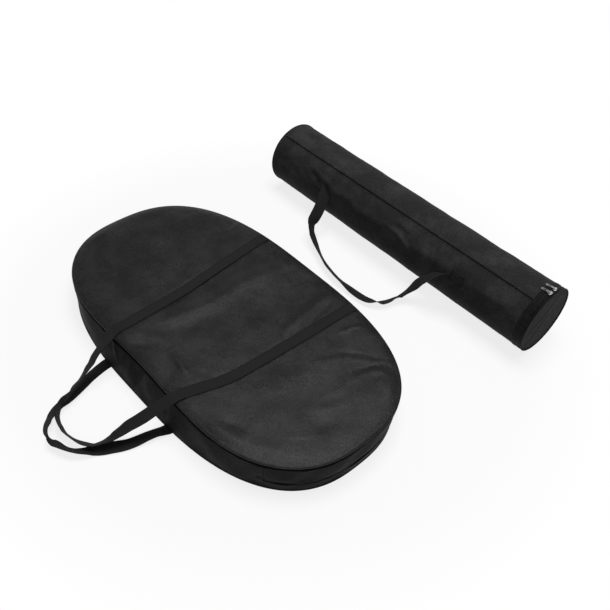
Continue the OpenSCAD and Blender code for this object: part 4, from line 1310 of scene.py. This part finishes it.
class BAGS_OT_flat_bag_webbing(bpy.types.Operator):
    """Build the flat bag's bands and both handles"""
    bl_idname = "bags.flat_bag_webbing"
    bl_label = "Flat bag webbing"

    def execute(self, context):
        w = settings("bags_webbing")
        flat_bag_webbing(Outline(settings("bags_flat")), mm(w.width), mm(w.thickness))
        return {"FINISHED"}


class BAGS_OT_tube_bag(bpy.types.Operator):
    """Build the tube bag's sleeve, ends, cap and zip"""
    bl_idname = "bags.tube_bag"
    bl_label = "Tube bag cloth"

    def execute(self, context):
        q = Tube(settings("bags_tube"))
        tube_sleeve(q)
        tube_ends(q)
        return {"FINISHED"}


class BAGS_OT_tube_strap(bpy.types.Operator):
    """Build the tube bag's carry strap and its sewn ends"""
    bl_idname = "bags.tube_strap"
    bl_label = "Tube bag strap"

    def execute(self, context):
        w = settings("bags_webbing")
        tube_strap(Tube(settings("bags_tube")), mm(w.width), mm(w.thickness))
        return {"FINISHED"}


class BAGS_OT_metal(bpy.types.Operator):
    """Give the zip sliders and pulls their silver finish"""
    bl_idname = "bags.metal"
    bl_label = "Sliders and pulls"

    def execute(self, context):
        metal_parts()
        return {"FINISHED"}


class BAGS_OT_stage(bpy.types.Operator):
    """Build the floor, the lights and the camera"""
    bl_idname = "bags.stage"
    bl_label = "Stage"

    def execute(self, context):
        stage(settings("bags_stage"))
        return {"FINISHED"}


class BAGS_PT_panel(bpy.types.Panel):
    """Settings and steps of the carry bags"""
    bl_label = "Carry bags"
    bl_idname = "BAGS_PT_panel"
    bl_space_type = "VIEW_3D"
    bl_region_type = "UI"
    bl_category = "Carry bags"

    def draw(self, context):
        for group in ("bags_flat", "bags_tube", "bags_webbing", "bags_stage"):
            box = self.layout.box()
            values = getattr(context.scene, group)
            for name in values.__annotations__:
                box.prop(values, name)
        for operator in OPERATORS:
            self.layout.operator(operator.bl_idname)


GROUPS = {"bags_flat": FlatBagSettings, "bags_tube": TubeBagSettings, "bags_webbing": WebbingSettings,
          "bags_stage": StageSettings}
OPERATORS = [BAGS_OT_flat_bag, BAGS_OT_flat_bag_zip, BAGS_OT_flat_bag_webbing, BAGS_OT_tube_bag,
             BAGS_OT_tube_strap, BAGS_OT_metal, BAGS_OT_stage]


def register():
    for group in GROUPS.values():
        bpy.utils.register_class(group)
    for name, group in GROUPS.items():
        setattr(bpy.types.Scene, name, bpy.props.PointerProperty(type=group))
    for operator in OPERATORS:
        bpy.utils.register_class(operator)
    bpy.utils.register_class(BAGS_PT_panel)


def unregister():
    bpy.utils.unregister_class(BAGS_PT_panel)
    for operator in reversed(OPERATORS):
        bpy.utils.unregister_class(operator)
    for name, group in GROUPS.items():
        delattr(bpy.types.Scene, name)
        bpy.utils.unregister_class(group)


def main():
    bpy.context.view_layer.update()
    register()
    bpy.ops.bags.flat_bag()
    bpy.ops.bags.flat_bag_zip()
    bpy.ops.bags.flat_bag_webbing()
    bpy.ops.bags.tube_bag()
    bpy.ops.bags.tube_strap()
    bpy.ops.bags.metal()
    bpy.ops.bags.stage()


if __name__ == "__main__":
    main()
